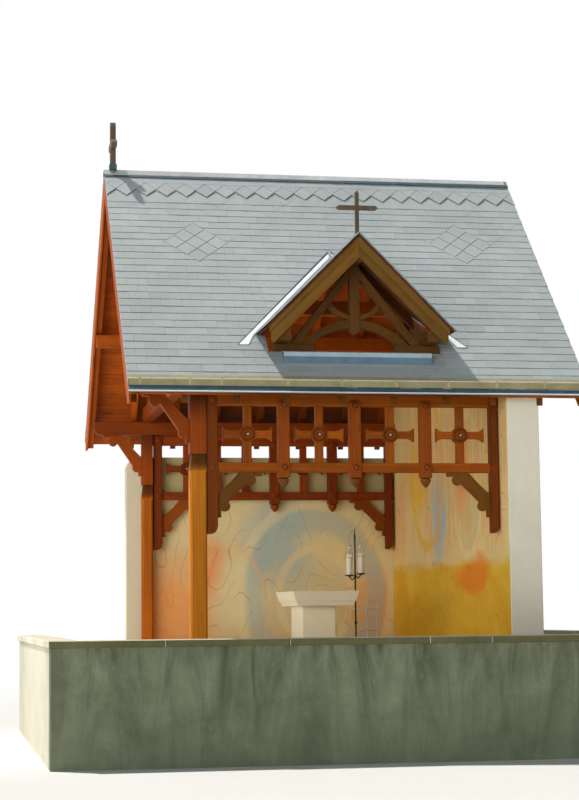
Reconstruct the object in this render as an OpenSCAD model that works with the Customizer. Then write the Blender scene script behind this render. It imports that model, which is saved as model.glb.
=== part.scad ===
// Small open chapel on a terrace: a slated saddle roof with an open dormer,
// carried by a timber frame with two carved friezes and two plastered walls.
// Millimetres. X runs along the ridge, Y away from the open front, Z up.
// Inside the modules x starts at the left face of the front post, y at the
// front face of the frame and z at the chapel's floor. The roof's pitch is
// 45 degrees, so a step along Y is the same step in height.

/* [Terrace] */
// Length of the terrace along the ridge, over its coping
terrace_l = 7540; // [6800:10:9000]
// Depth of the terrace from front to back, over its coping
terrace_w = 7910; // [7800:10:9500]
// How far the terrace reaches before the chapel's front
terrace_front = 1455; // [900:5:1500]
// Height of the chapel's floor above the lowest ground
floor_z = 1020; // [400:10:1500]
// Height of the coping's top above the floor
coping_top = 380; // [200:10:600]
// Thickness of the coping stones
coping_t = 80; // [50:5:120]
// Width of the coping stones
coping_w = 350; // [320:5:500]
// How far the coping stands out before the wall under it
coping_lip = 25; // [5:5:40]
// Thickness of the terrace's walls
terrace_wall_t = 300; // [200:5:320]
// Thickness of the floor slab
slab_t = 150; // [80:10:300]

/* [Walls] */
// Inner face of the right wall, from the front post's outer face
wall_x0 = 3810; // [3600:10:4200]
// Thickness of the right wall
right_wall_t = 400; // [250:10:460]
// How far the right wall stands out before the frame
right_wall_front = 340; // [100:10:340]
// Gap between the frame and the back wall
back_wall_gap = 30; // [10:5:80]
// Thickness of the back wall
back_wall_t = 200; // [120:10:260]
// How far the back wall runs past the posts on the left
back_wall_out = 217; // [210:1:400]
// Height of the back wall
back_wall_h = 2970; // [2400:10:3050]
// Radius of the back wall's top corner
back_wall_round = 200; // [50:10:400]

/* [Roof] */
// Length of the roof along the ridge
roof_l = 5608; // [5400:2:6400]
// How far the roof runs past the posts on the left
roof_left = 784; // [720:2:900]
// How far each eave stands out before the frame
eave_out = 542; // [520:2:600]
// Height of the slates' top at the eaves
eave_z = 3238; // [3200:2:3700]
// Thickness of the slates
slate_t = 30; // [10:1:40]
// Thickness of the roof boards
board_t = 24; // [18:1:40]
// Depth of a rafter, square to the slope
rafter_d = 170; // [140:5:200]
// Width of a rafter
rafter_w = 80; // [60:5:120]
// How far the rafters' upright tails stand behind the slates' edge
rafter_tail = 200; // [140:5:260]
// Even spacing of the rafters
rafter_pitch = 606; // [450:1:750]
// Height of the gutters' upright strips, which stand on the slates
gutter_h = 86; // [50:1:110]
// Distance of these strips behind the slates' edge
gutter_in = 74; // [40:1:110]
// How far the gutters' sheets reach up the slates behind the strips
gutter_bed = 130; // [120:5:200]
// Thickness of the gutters' sheets
gutter_t = 6; // [2:1:8]
// Thickness of the barge boards
barge_t = 28; // [18:1:45]
// Depth of the barge boards
barge_d = 200; // [140:5:230]
// How far the barge boards' feet hang under the slates' edge
barge_drop = 138; // [90:2:180]
// How far the slates reach over the barge boards' faces
verge_lip = 6; // [0:1:20]
// Width of one side of the ridge cap
cap_w = 75; // [70:5:160]
// Thickness of the ridge cap's sheet with its fold
cap_t = 10; // [4:1:16]
// Width of a purlin
purlin_w = 120; // [80:5:160]
// Depth of a purlin
purlin_h = 180; // [120:5:240]
// Distance from the ridge to the middle of a purlin
purlin_y = 1637; // [1300:1:1900]
// Width of the ridge beam
ridge_beam_w = 80; // [60:5:120]
// Depth of the ridge beam
ridge_beam_h = 270; // [160:5:320]

/* [Timber frame] */
// Depth of the frame, over the outer faces of its front and rear
frame_depth = 5646; // [5300:2:5900]
// Width of the front post
post_w = 200; // [160:2:230]
// Width of the rear post
rear_post_w = 160; // [120:2:190]
// Width of the posts' chamfers
post_chamfer = 22; // [5:1:35]
// Height at which the chamfers start
chamfer_z0 = 150; // [80:10:400]
// Height at which the chamfers end
chamfer_z1 = 2350; // [1200:10:2400]
// Height of the necks cut into the posts over their chamfers
neck_h = 200; // [120:10:260]
// Depth of these necks at their tops
neck_d = 24; // [10:1:34]
// Height of a wall plate
plate_h = 190; // [150:5:230]
// Width of a wall plate
plate_w = 180; // [150:5:220]
// Depth of the rafters' notches on the plates and purlins
plate_bite = 12; // [5:1:25]
// How far the front plate runs past the posts on the left
plate_out = 640; // [600:5:700]
// How far the rear plate runs past the posts on the left
rear_plate_out = 700; // [600:5:715]
// How far the plates run past the right wall
plate_right = 466; // [300:2:560]
// Radius of the plates' rounded ends
plate_round = 90; // [30:5:130]
// Height of the tie beam
tie_h = 200; // [140:5:260]
// Width of the tie beam
tie_w = 150; // [100:5:160]
// Distance of the tie beam from the posts' outer faces
tie_x = 10; // [0:1:10]
// Thickness of the gable truss
truss_d = 100; // [70:5:130]
// Width of the gable truss's king post
king_w = 140; // [100:5:180]
// Depth of the gable truss's collar
collar_h = 140; // [100:5:180]
// Depth of the gable truss's braces
brace_d = 110; // [80:5:150]
// Reach of the curved braces along the plates
reach = 560; // [500:5:600]
// Drop of the curved braces down the posts
drop = 600; // [500:5:620]
// Thickness of the curved braces
brace_t = 100; // [60:5:120]

/* [Friezes] */
// Height of the frieze's top rail
top_rail_h = 150; // [100:5:200]
// Height of the opening between the rails
frieze_gap = 685; // [600:5:780]
// Height of the frieze's low rail
low_rail_h = 115; // [80:5:160]
// Thickness of the rails
rail_t = 90; // [60:2:110]
// Depth of the rails' front face behind the stiles' front face
rail_set = 25; // [10:1:35]
// Thickness of the stiles over front and back
stile_t = 120; // [110:2:150]
// Gap between the front post and the first stile
post_gap = 8; // [0:1:20]
// Gap between the last stile and the right wall
wall_gap = 20; // [0:1:60]
// Gap between the rear post and its first stile
rear_post_gap = 20; // [0:1:40]
// Width of the left end stiles
stile_w = 122; // [90:2:150]
// Width of the right end stiles
right_stile_w = 98; // [80:2:130]
// Length of the end stiles under the low rail
stile_drop = 735; // [600:5:900]
// Height of the taper at an end stile's foot
stile_foot = 110; // [60:5:180]
// Number of bays between the end stiles
bays = 4; // [3:1:5]
// Width of the stiles that end in pendants
pendant_w = 140; // [110:2:170]
// Length of the pendants under the low rail
pendant_drop = 180; // [150:5:220]
// Width of the crosses' thin stiles
cross_stile_w = 98; // [60:2:120]
// Thickness of the crosses
cross_t = 76; // [50:2:88]
// Half length of the crosses' arms
cross_arm = 300; // [240:5:320]
// Width of the arms at their waist
arm_waist = 88; // [60:2:110]
// Width of the arms at their flared ends
arm_flare = 176; // [120:2:220]
// Radius of the turned rosettes
rosette_r = 98; // [60:2:120]
// Radius of the rosettes' raised boss
boss_r = 60; // [30:2:80]
// Reach of the scalloped brackets along the rail and down the stile
bracket = 540; // [460:5:600]
// Thickness of the scalloped brackets
bracket_t = 65; // [40:5:85]

/* [Dormer] */
// Middle of the dormer, from the front post's outer face
dormer_x = 2030; // [1800:10:2200]
// Height of the dormer's ridge above the eave
dormer_h = 2002; // [1942:2:2162]
// Half width of the dormer over its slates
dormer_half = 1200; // [1150:5:1300]
// How far the dormer's barge boards stand out before the frame
dormer_out = 280; // [200:5:340]
// Thickness of the dormer's barge boards
dormer_barge_t = 30; // [18:1:45]
// Depth of the dormer's barge boards
dormer_barge_d = 180; // [120:5:220]
// Depth of the dormer's rafters
dormer_rafter_d = 95; // [60:5:120]
// Width of the dormer's rafters
dormer_rafter_w = 70; // [50:5:90]
// Distance from the rafters over the dormer's truss to the pair behind them
dormer_rafter_step = 520; // [400:10:600]
// Distance of the dormer's side plates from the slates' edges
side_plate_in = 285; // [260:5:320]
// Radius of the side plates' rounded ends
side_plate_r = 80; // [60:2:90]
// Depth behind the frame's front at which the dormer's truss starts
truss_set = 30; // [22:1:60]
// Thickness of the dormer's truss
truss_t = 100; // [70:5:110]
// Distance from the dormer's ridge down to the truss's head
truss_head = 380; // [340:5:420]
// Half width of the truss at its feet
truss_half = 800; // [740:5:860]
// Width of the truss's feet
truss_foot_w = 110; // [80:5:140]
// Width of the truss's king post
truss_king = 120; // [80:5:150]
// Length of the drop under the king post
truss_drop = 40; // [20:5:60]
// Clear width of the truss's arch at its feet
arch_w = 1056; // [950:2:1100]
// Clear rise of the truss's arch
arch_rise = 203; // [180:1:260]
// Depth of the arch
arch_band = 100; // [60:2:110]
// Radius of the upper struts
strut_r = 380; // [330:5:420]
// Depth of the upper struts
strut_band = 62; // [40:2:80]
// Height of the blocks under the truss
block_h = 93; // [60:1:120]
// Length of the blocks under the truss
block_l = 510; // [420:5:560]
// Half length of the sill beam
sill_half = 1020; // [960:5:1060]
// Depth of the sill beam from front to back
sill_w = 120; // [100:5:140]
// How far the sill's sheet stands out before the beam
sill_out = 165; // [50:5:180]
// Half length of the sill's sheet
sheet_half = 915; // [850:5:950]
// Width of the valley sheets along the ridge
valley_w = 65; // [40:5:150]
// How far they run on past the dormer's slates
valley_run = 147; // [60:1:170]
// How far they start beside the middle of the dormer
valley_in = 20; // [10:1:35]
// Thickness of the valley sheets
valley_t = 5; // [2:1:8]

/* [Crosses] */
// Height of the dormer's cross above the dormer's ridge
dormer_cross_h = 515; // [400:5:800]
// Half length of the dormer cross's arms
dormer_cross_arm = 262; // [160:2:320]
// Height of its arms' middle above the dormer's ridge
dormer_cross_z = 300; // [240:5:340]
// Width of the dormer cross's upright
dormer_cross_w = 46; // [30:1:70]
// Height of the dormer cross's arms
dormer_cross_band = 55; // [30:1:70]
// Thickness of the dormer cross
dormer_cross_t = 45; // [30:1:60]
// Height of the ridge cross above the ridge
ridge_cross_h = 667; // [450:1:800]
// Half length of the ridge cross's arms
ridge_cross_arm = 250; // [160:2:320]
// Height of its arms' middle above the ridge
ridge_cross_z = 337; // [240:1:420]
// Distance of the dormer's cross behind its barge boards' face
dormer_cross_set = 90; // [40:5:150]
// Width of the ridge cross's upright
ridge_cross_w = 76; // [50:1:90]
// Height of the ridge cross's arms
ridge_cross_band = 100; // [60:2:120]
// Thickness of the ridge cross
ridge_cross_t = 75; // [40:1:90]
// Distance of the ridge cross from the left verge
ridge_cross_x = 84; // [40:2:120]

/* [Furniture] */
// Middle of the altar along X
altar_x = 2072; // [1900:2:2200]
// Middle of the altar along Y
altar_y = 2860; // [2600:10:3000]
// Width of the altar slab
altar_w = 890; // [780:10:1000]
// Length of the altar slab from front to back
altar_l = 1320; // [1200:10:1450]
// Height of the altar
altar_h = 945; // [850:5:1050]
// Thickness of the altar slab with its steps
altar_t = 195; // [150:5:240]
// Depth of the slab's upper band
altar_band = 132; // [90:2:140]
// Width of the altar's base
base_w = 444; // [380:2:500]
// Length of the altar's base from front to back
base_l = 820; // [700:10:900]
// How far the base stands left of the slab's middle
base_shift = 54; // [0:2:70]
// Place of the candle stand along X
candle_x = 2675; // [2660:5:2720]
// Place of the candle stand along Y
candle_y = 3200; // [3150:10:3300]
// Height of the candle stand's pole
candle_pole = 1800; // [1500:10:1900]
// Radius of the pole
pole_r = 11; // [8:1:16]
// Radius of the candle stand's foot
candle_foot_r = 130; // [100:5:160]
// Reach of its arms
candle_arm = 80; // [72:1:110]
// Height of the left arm
candle_z = 1145; // [1000:5:1300]
// Step up to the right arm
candle_step = 22; // [0:1:60]
// Radius of the cups
cup_r = 62; // [45:1:68]
// Height of the cups
cup_h = 26; // [14:1:40]
// Radius of the candles
candle_r = 41; // [20:1:44]
// Height of the candles
candle_h = 225; // [100:5:260]
// Place of the wire stand's front corner along X
stand_x = 3005; // [2950:5:3100]
// Place of the wire stand's front corner along Y
stand_y = 3950; // [3900:10:4200]
// How far the wire stand is turned, in degrees
stand_turn = 38; // [0:1:60]
// Width of the wire stand's four sides
stand_w = 325; // [240:5:380]
// Height of the wire stand
stand_h = 825; // [760:5:1000]
// Height of the wire stand's middle ring
stand_mid = 700; // [600:5:730]
// Height of the wire stand's low ring
stand_low = 400; // [150:5:500]
// Thickness of its bars
bar = 14; // [8:1:20]

/* [Hidden] */
$fn = 48;
eps = 1;             // how far a cut runs past the face it opens
sink = 60;           // how far a cross's foot reaches down astride its ridge
r2 = sqrt(2);

// the roof's corners, and depths measured straight down from the slates' top
roof_x0 = -roof_left;
roof_x1 = roof_l - roof_left;
ridge_y = frame_depth / 2;
eave_y = -eave_out;
ridge_z = eave_z + ridge_y + eave_out;
cover = slate_t + board_t;
under_boards = cover * r2;
under_rafters = (cover + rafter_d) * r2;
barge_in = roof_x0 + verge_lip + barge_t;
barge_in_right = roof_x1 - verge_lip - barge_t;

// how far each rafter stands right of its even place, as the carpenters set them
rafter_play = [0, -6, 8, 12, 66, 100, 144, 107, 81];

// the frame's heights hang from the roof
plate_z = eave_z + eave_out - under_rafters + plate_bite - plate_h;
plate_top = plate_z + plate_h;
rear_plate_y = frame_depth - plate_w;
purlin_z = ridge_z - purlin_y - purlin_w / 2 - under_rafters + plate_bite - purlin_h;
ridge_beam_z1 = ridge_z - under_boards - ridge_beam_w / 2;
ridge_beam_z0 = ridge_beam_z1 - ridge_beam_h;
truss_x0 = tie_x + (tie_w - truss_d) / 2;
tie_top = plate_top + tie_h;

// the friezes hang under the plates
top_rail_z = plate_z - top_rail_h;
low_rail_top = top_rail_z - frieze_gap;
low_rail_z = low_rail_top - low_rail_h;
stile_end_z = low_rail_z - stile_drop;
stile_head = plate_z - 5;
cross_z = (low_rail_top + top_rail_z) / 2;
rail_y1 = rail_set + rail_t;
frieze_l = wall_x0 - wall_gap - post_w - post_gap;
front_x = post_w + post_gap;
rear_x = rear_post_w + rear_post_gap;
rear_frieze_y = frame_depth - stile_t;
bay = (frieze_l - stile_w - right_stile_w - (bays - 1) * pendant_w) / bays;
lobe_r = 62;
lobe_in = 92;
lobe_out = 405;
tail_t = 45;

// the dormer
dormer_top = eave_z + dormer_h;
dormer_y0 = -dormer_out;
room_y = 18;         // where the opening in the main slope starts
room_half = dormer_half - 130;
side_plate_x = dormer_half - side_plate_in;
dormer_end = dormer_half - 110;
beam_z0 = dormer_top - truss_head;
sill_y = truss_set - (sill_w - truss_t) / 2;
sill_z = eave_z + eave_out + sill_y;
truss_z = sill_z + block_h;
arch_r = (arch_w * arch_w / 4 + arch_rise * arch_rise) / (2 * arch_rise);
arch_z = truss_z + arch_rise - arch_r;
arch_top = truss_z + arch_rise + arch_band;
side_plate_z = dormer_top - under_boards - dormer_rafter_d * r2 - side_plate_x - 130;

// the walls and the terrace
back_wall_y = frame_depth + back_wall_gap;
wall_y1 = back_wall_y + back_wall_t;
centre_x = (roof_x0 + roof_x1) / 2;
terrace_x0 = centre_x - terrace_l / 2;
terrace_x1 = centre_x + terrace_l / 2;
terrace_y0 = -terrace_front;
terrace_y1 = terrace_w - terrace_front;
centre_y = (terrace_y0 + terrace_y1) / 2;
inner_x0 = terrace_x0 + coping_lip + terrace_wall_t;
inner_x1 = terrace_x1 - coping_lip - terrace_wall_t;
inner_y0 = terrace_y0 + coping_lip + terrace_wall_t;
inner_y1 = terrace_y1 - coping_lip - terrace_wall_t;
coping_z = coping_top - coping_t;

timber = [0.62, 0.31, 0.10];
aged = [0.45, 0.31, 0.17];
plaster = [0.90, 0.86, 0.74];
stone = [0.84, 0.81, 0.72];
render_grey = [0.55, 0.56, 0.50];
slate = [0.50, 0.55, 0.58];
zinc = [0.72, 0.75, 0.77];
iron = [0.10, 0.10, 0.10];

// top of the slates above y, on whichever slope covers it
function top(y) = ridge_z - abs(y - ridge_y);

// a point at depth d on the square-cut foot of the front slope
function foot(d) = [eave_y + d / r2, eave_z - d / r2];

// a list of points mirrored across the ridge, in the order that closes a loop
function mirrored(points) = [for (i = [len(points) - 1:-1:0]) [2 * ridge_y - points[i][0], points[i][1]]];

// points of an arc from angle a0 to a1
function arc(c, r, a0, a1, n = 12) = [for (i = [0:n]) let (a = a0 + (a1 - a0) * i / n) c + r * [cos(a), sin(a)]];

// ------------------------------------------------------------------ tools

// brings the chapel's own coordinates to the middle of the terrace's foot
module placed() {
    translate([-centre_x, -centre_y, floor_z]) children();
}

// a box from its two corners
module box(a, b) {
    translate(a) cube(b - a);
}

// a drawing in y and z, run along x
module along_x(x0, x1) {
    translate([x0, 0, 0]) rotate([90, 0, 90]) linear_extrude(x1 - x0) children();
}

// a drawing in x and z, run along y
module along_y(y0, y1) {
    translate([0, y1, 0]) rotate([90, 0, 0]) linear_extrude(y1 - y0) children();
}

// the other slope of the main roof
module rear_side() {
    translate([0, frame_depth, 0]) mirror([0, 1, 0]) children();
}

// a layer of the front slope, from depth d0 to d1 under the slates' top
module slope_layer(d0, d1, y1 = ridge_y) {
    polygon([foot(d0), [y1, top(y1) - d0 * r2], [y1, top(y1) - d1 * r2], foot(d1)]);
}

// the room under the dormer, that the main slope leaves open
module dormer_room(gap = 0) {
    w = room_half + gap;
    h = dormer_top - under_boards + gap;
    along_y(room_y, ridge_y - 600) translate([dormer_x, 0])
        polygon([[-w, eave_z], [w, eave_z], [w, h - w], [0, h], [-w, h - w]]);
}

// all that lies under the main roof's top face, or under a plane above it
module below_main_roof(lift = 0) {
    z = ridge_z + lift;
    along_x(roof_x0 - 500, roof_x1 + 500)
        polygon([[eave_y - 800, 0], [eave_y - 800, z - ridge_y + eave_y - 800], [ridge_y, z], [ridge_y, 0]]);
}

// ---------------------------------------------------------------- terrace

module terrace_front_wall() {
    color(render_grey)
        box([terrace_x0 + coping_lip, terrace_y0 + coping_lip, -floor_z], [terrace_x1 - coping_lip, inner_y0, coping_z]);
}

module terrace_side_walls() {
    color(render_grey) for (x = [terrace_x0 + coping_lip, inner_x1])
        box([x, inner_y0, -floor_z], [x + terrace_wall_t, terrace_y1 - coping_lip, coping_z]);
}

module terrace_rear_wall() {
    color(render_grey)
        box([inner_x0, inner_y1, -floor_z], [inner_x1, inner_y1 + terrace_wall_t, 0]);
}

module terrace_coping() {
    xa = terrace_x0 + coping_w;
    xb = terrace_x1 - coping_w;
    y = terrace_y0 + coping_w;
    color(stone) translate([0, 0, coping_z]) linear_extrude(coping_t)
        polygon([[terrace_x0, terrace_y0], [terrace_x1, terrace_y0], [terrace_x1, terrace_y1], [xb, terrace_y1], [xb, y], [xa, y], [xa, terrace_y1], [terrace_x0, terrace_y1]]);
}

module floor_slab() {
    color(stone)
        box([inner_x0, inner_y0, -slab_t], [inner_x1, inner_y1, 0]);
}

// ------------------------------------------------------------------ walls

module back_wall() {
    r = back_wall_round;
    color(plaster) along_y(back_wall_y, wall_y1) translate([-back_wall_out, 0]) difference() {
        square([wall_x0 + back_wall_out, back_wall_h]);
        translate([0, back_wall_h - r]) difference() {
            translate([-eps, 0]) square([r + eps, r + eps]);
            translate([r, 0]) circle(r);
        }
    }
}

module right_wall() {
    y0 = -right_wall_front;
    color(plaster) difference() {
        along_x(wall_x0, wall_x0 + right_wall_t)
            polygon([[y0, 0], [wall_y1, 0], [wall_y1, top(wall_y1) - under_boards], [ridge_y, ridge_z - under_boards], [y0, top(y0) - under_boards]]);
        plates();
        beams();
        rafters(y0 - eps);
        rear_side() rafters(eave_y);
    }
}

// ----------------------------------------------------------- timber frame

module post(w) {
    c = post_chamfer;
    cube([w, w, chamfer_z0]);
    linear_extrude(chamfer_z1)
        polygon([[c, 0], [w - c, 0], [w, c], [w, w - c], [w - c, w], [c, w], [0, w - c], [0, c]]);
    translate([0, 0, chamfer_z1]) difference() {
        cube([w, w, plate_z - chamfer_z1]);
        along_x(-eps, w + eps) neck();
        mirror([1, -1, 0]) along_x(-eps, w + eps) neck();
    }
}

// the hollow over a chamfer's stop, deepest at its top
module neck() {
    polygon([[-eps, 10], [0, 10], [neck_d, neck_h], [-eps, neck_h]]);
}

module posts() {
    color(timber) {
        post(post_w);
        translate([0, frame_depth - rear_post_w, 0]) post(rear_post_w);
    }
}

// a plate with its lower left end rounded
module plate(y, out) {
    r = plate_round;
    along_y(y, y + plate_w) difference() {
        translate([-out, plate_z]) square([wall_x0 + right_wall_t + plate_right + out, plate_h]);
        translate([-out, plate_z]) difference() {
            translate([-eps, -eps]) square(r + eps);
            translate([r, r]) circle(r);
        }
    }
}

module plates() {
    plate(0, plate_out);
    plate(rear_plate_y, rear_plate_out);
}

module wall_plates() {
    color(timber) plates();
}

// it lies on both plates, its ends cut to the slope under the rafters
module tie_beam() {
    end = [[plate_bite, plate_top], [plate_bite + tie_h, tie_top]];
    color(timber) along_x(tie_x, tie_x + tie_w) polygon(concat(end, mirrored(end)));
}

// a curved brace in the corner at the origin, to the right and down: straight
// tails of thickness t along both timbers, and a round lobe before each tail
module corner_brace(l, h, t, r, lobe_x, lobe_z, chord_x, chord_z, bow) {
    ax = asin((lobe_x[1] - t) / r);
    az = asin((lobe_z[0] - t) / r);
    polygon(concat(
        [[chord_x, 0], [l, 0], [l, -t]],
        arc([lobe_x[0], -lobe_x[1]], r, ax, -90 - ax),
        arc([lobe_z[0], -lobe_z[1]], r, az, -90 - az),
        [[t, -h], [0, -h], [0, -chord_z]],
        [for (s = [0.2, 0.4, 0.6, 0.8]) [chord_x * s * (1 + bow * (1 - s)), -chord_z * (1 - s) * (1 + bow * s)]]
    ));
}

// the brace from a post's left face out to its plate's end
module overhang_brace() {
    k = reach / 560;
    m = drop / 600;
    along_y(0, brace_t) translate([0, plate_z]) mirror([1, 0])
        corner_brace(reach, drop, tail_t, lobe_r, [415 * k, 105], [70, 480 * m], 305 * k, 332 * m, 0.08);
}

module overhang_braces() {
    color(timber) {
        translate([0, (post_w - brace_t) / 2, 0]) overhang_brace();
        translate([0, frame_depth - (rear_post_w + brace_t) / 2, 0]) overhang_brace();
    }
}

// king post, a post under each purlin, a collar and two raking braces
module gable_truss() {
    y0 = tie_h + purlin_h + 40;
    y1 = ridge_y - purlin_y - purlin_w / 2 + eps;
    d = brace_d * r2;
    brace = [[y0, tie_top], [y0 + d, tie_top], [y1, tie_top + y1 - y0 - d], [y1, tie_top + y1 - y0]];
    color(timber) along_x(truss_x0, truss_x0 + truss_d) union() {
        translate([ridge_y - king_w / 2, tie_top]) square([king_w, ridge_beam_z0 - tie_top]);
        translate([ridge_y - purlin_y, purlin_z - collar_h]) square([2 * purlin_y, collar_h]);
        for (y = [ridge_y - purlin_y, ridge_y + purlin_y])
            translate([y - purlin_w / 2, tie_top]) square([purlin_w, purlin_z - tie_top]);
        polygon(brace);
        polygon(mirrored(brace));
    }
}

// the ridge beam and the purlins, which the rafters are notched over
module beams() {
    along_x(barge_in, barge_in_right) {
        translate([ridge_y - ridge_beam_w / 2, ridge_beam_z0]) square([ridge_beam_w, ridge_beam_h]);
        for (y = [ridge_y - purlin_y, ridge_y + purlin_y]) translate([y - purlin_w / 2, purlin_z]) square([purlin_w, purlin_h]);
    }
}

module purlins() {
    color(timber) beams();
}

// rafters from their tails to the ridge beam, the outer two against the barges
module rafters(tail = eave_y + rafter_tail) {
    xa = barge_in + rafter_w / 2;
    xb = barge_in_right - rafter_w / 2;
    n = max(2, round((xb - xa) / rafter_pitch));
    head = ridge_y - ridge_beam_w / 2;
    difference() {
        for (i = [0:n]) let (play = i < n && i < len(rafter_play) ? rafter_play[i] : 0)
            translate([xa + (xb - xa) * i / n + play - rafter_w / 2, 0, 0])
                along_x(0, rafter_w)
                    polygon([for (p = [[tail, under_rafters], [tail, under_boards], [head, under_boards], [head, under_rafters]]) [p[0], top(p[0]) - p[1]]]);
        box([roof_x0, 0, plate_z], [roof_x1, plate_w, plate_top]);
        beams();
    }
}

module rafters_front() {
    color(timber) difference() {
        rafters();
        dormer_room(30);
    }
}

module rafters_rear() {
    color(timber) rear_side() rafters();
}

// the roof boards of one slope
module boards() {
    along_x(roof_x0 + verge_lip, roof_x1 - verge_lip) slope_layer(slate_t, cover);
}

module boards_front() {
    color(timber) difference() {
        boards();
        dormer_room();
    }
}

module boards_rear() {
    color(timber) rear_side() boards();
}

module slates() {
    along_x(roof_x0, roof_x1) slope_layer(0, slate_t);
}

module slates_front() {
    color(slate) difference() {
        slates();
        dormer_room();
    }
}

module slates_rear() {
    color(slate) rear_side() slates();
}

// the top edge of the ridge cap's front side, from its foot to its fold
function cap_edge() = let (t = cap_t * r2) [[ridge_y - cap_w, ridge_z - cap_w + t], [ridge_y - t, ridge_z + t]];

module ridge_cap() {
    half = concat([[ridge_y - cap_w, ridge_z - cap_w]], cap_edge());
    color(zinc) along_x(roof_x0 - 4, roof_x1 + 4) polygon(concat([[ridge_y, ridge_z]], half, mirrored(half)));
}

// both barge boards of a gable, joined at the ridge, their feet cut plumb and level
module gable_barge(x) {
    d1 = cover + barge_d;
    z = eave_z - barge_drop;
    half = [[ridge_y, ridge_z - under_boards], foot(cover), [foot(cover)[0], z], [eave_y - barge_drop + d1 * r2, z]];
    along_x(x, x + barge_t)
        polygon(concat(half, [[ridge_y, ridge_z - d1 * r2]], mirrored([for (i = [1:3]) half[i]])));
}

module barge_boards() {
    color(timber) {
        gable_barge(roof_x0 + verge_lip);
        gable_barge(barge_in_right);
    }
}

// an open gutter on the slates: a sheet dressed up the slope, and an upright strip
module gutter() {
    y = eave_y + gutter_in;
    z = top(y);
    b = gutter_t * r2;
    along_x(roof_x0, roof_x1)
        polygon([[y, z], [y, z + gutter_h], [y + gutter_t, z + gutter_h], [y + gutter_t, z + gutter_t + b], [y + gutter_bed, z + gutter_bed + b], [y + gutter_bed, z + gutter_bed]]);
    for (x = [roof_x0, roof_x1 - gutter_t]) along_x(x, x + gutter_t)
        polygon([[y, z], [y, z + gutter_h], [y + gutter_h, z + gutter_h]]);
}

module gutters() {
    color(zinc) {
        gutter();
        rear_side() gutter();
    }
}

// ---------------------------------------------------------------- friezes

// middle of the i-th pendant and of the i-th cross, from the first stile
function pendant_x(i) = stile_w + (i + 1) * bay + (i + 0.5) * pendant_w;
function cross_x(i) = stile_w + (i + 0.5) * bay + i * pendant_w;

// both rails, from a post's face to the right wall
module frieze_rails(x0) {
    box([x0, rail_set, top_rail_z], [wall_x0, rail_y1, plate_z]);
    box([x0, rail_set, low_rail_z], [wall_x0, rail_y1, low_rail_top]);
}

// an end stile with its tapered foot, let over both rails
module end_stile(x, w) {
    difference() {
        along_y(0, stile_t) translate([x, 0])
            polygon([[0, stile_end_z], [0.4 * w, stile_end_z], [w, stile_end_z + stile_foot], [w, stile_head], [0, stile_head]]);
        box([x - eps, rail_set, low_rail_z], [x + w + eps, stile_t + eps, low_rail_top]);
        box([x - eps, rail_set, top_rail_z], [x + w + eps, stile_t + eps, plate_z]);
    }
}

// a stile that ends in a turned pendant under the low rail
module pendant(x) {
    w = pendant_w / 2;
    z = low_rail_z;
    difference() {
        box([x - w, 0, z - 20], [x + w, stile_t, top_rail_z + 60]);
        box([x - w - eps, rail_set, low_rail_z], [x + w + eps, stile_t + eps, low_rail_top]);
        box([x - w - eps, rail_set, top_rail_z], [x + w + eps, stile_t + eps, plate_z]);
    }
    translate([x, stile_t / 2, 0]) rotate_extrude()
        polygon([[0, z - pendant_drop], [20, z - pendant_drop], [48, z - pendant_drop + 50], [58, z - 95], [58, z - 80], [66, z - 80], [66, z - 64], [56, z - 64], [56, z - 10], [0, z - 10]]);
}

// all stiles, from the first one's left face
module frieze_stiles() {
    end_stile(0, stile_w);
    end_stile(frieze_l - right_stile_w, right_stile_w);
    for (i = [0:bays - 2]) pendant(pendant_x(i));
}

module arm_drawing() {
    a = arm_waist / 2;
    b = arm_flare / 2;
    half = [[cross_arm - 90, a], [cross_arm - 30, a + 0.4 * (b - a)], [cross_arm, b]];
    polygon(concat(
        [for (p = half) [p[0], p[1]]],
        [for (i = [2:-1:0]) [half[i][0], -half[i][1]]],
        [for (p = half) [-p[0], -p[1]]],
        [for (i = [2:-1:0]) [-half[i][0], half[i][1]]]
    ));
}

// a thin stile with flared arms, and a turned rosette on both faces
module frieze_cross(x) {
    y = rail_set + rail_t / 2;
    along_y(y - cross_t / 2, y + cross_t / 2) translate([x, 0]) union() {
        translate([-cross_stile_w / 2, low_rail_top]) square([cross_stile_w, frieze_gap]);
        translate([0, cross_z]) arm_drawing();
    }
    translate([x, y, cross_z]) rotate([90, 0, 0]) {
        cylinder(h = cross_t + 34, r = rosette_r, center = true);
        cylinder(h = cross_t + 48, r = boss_r, center = true);
    }
}

module frieze_crosses() {
    for (i = [0:bays - 1]) frieze_cross(cross_x(i));
}

module frieze_bracket() {
    k = bracket / 540;
    corner_brace(bracket, bracket, tail_t, lobe_r, [lobe_out * k, lobe_in], [lobe_in, lobe_out * k], 262 * k, 262 * k, 0.12);
}

module frieze_brackets() {
    y = rail_set + rail_t / 2;
    along_y(y - bracket_t / 2, y + bracket_t / 2) {
        translate([stile_w, low_rail_z]) frieze_bracket();
        translate([frieze_l - right_stile_w, low_rail_z]) mirror([1, 0]) frieze_bracket();
    }
}

// the place of each frieze's first stile
module at_front() { translate([front_x, 0, 0]) children(); }
module at_rear() { translate([rear_x, rear_frieze_y, 0]) children(); }

module front_frieze_rails() { color(timber) frieze_rails(post_w); }

module front_frieze_stiles() { color(timber) at_front() frieze_stiles(); }

module front_frieze_crosses() { color(timber) at_front() frieze_crosses(); }

module front_frieze_brackets() { color(timber) at_front() frieze_brackets(); }

module rear_frieze_rails() { color(timber) translate([0, rear_frieze_y, 0]) frieze_rails(rear_post_w); }

module rear_frieze_stiles() { color(timber) at_rear() frieze_stiles(); }

module rear_frieze_crosses() { color(timber) at_rear() frieze_crosses(); }

module rear_frieze_brackets() { color(timber) at_rear() frieze_brackets(); }

// ----------------------------------------------------------------- dormer

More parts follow.
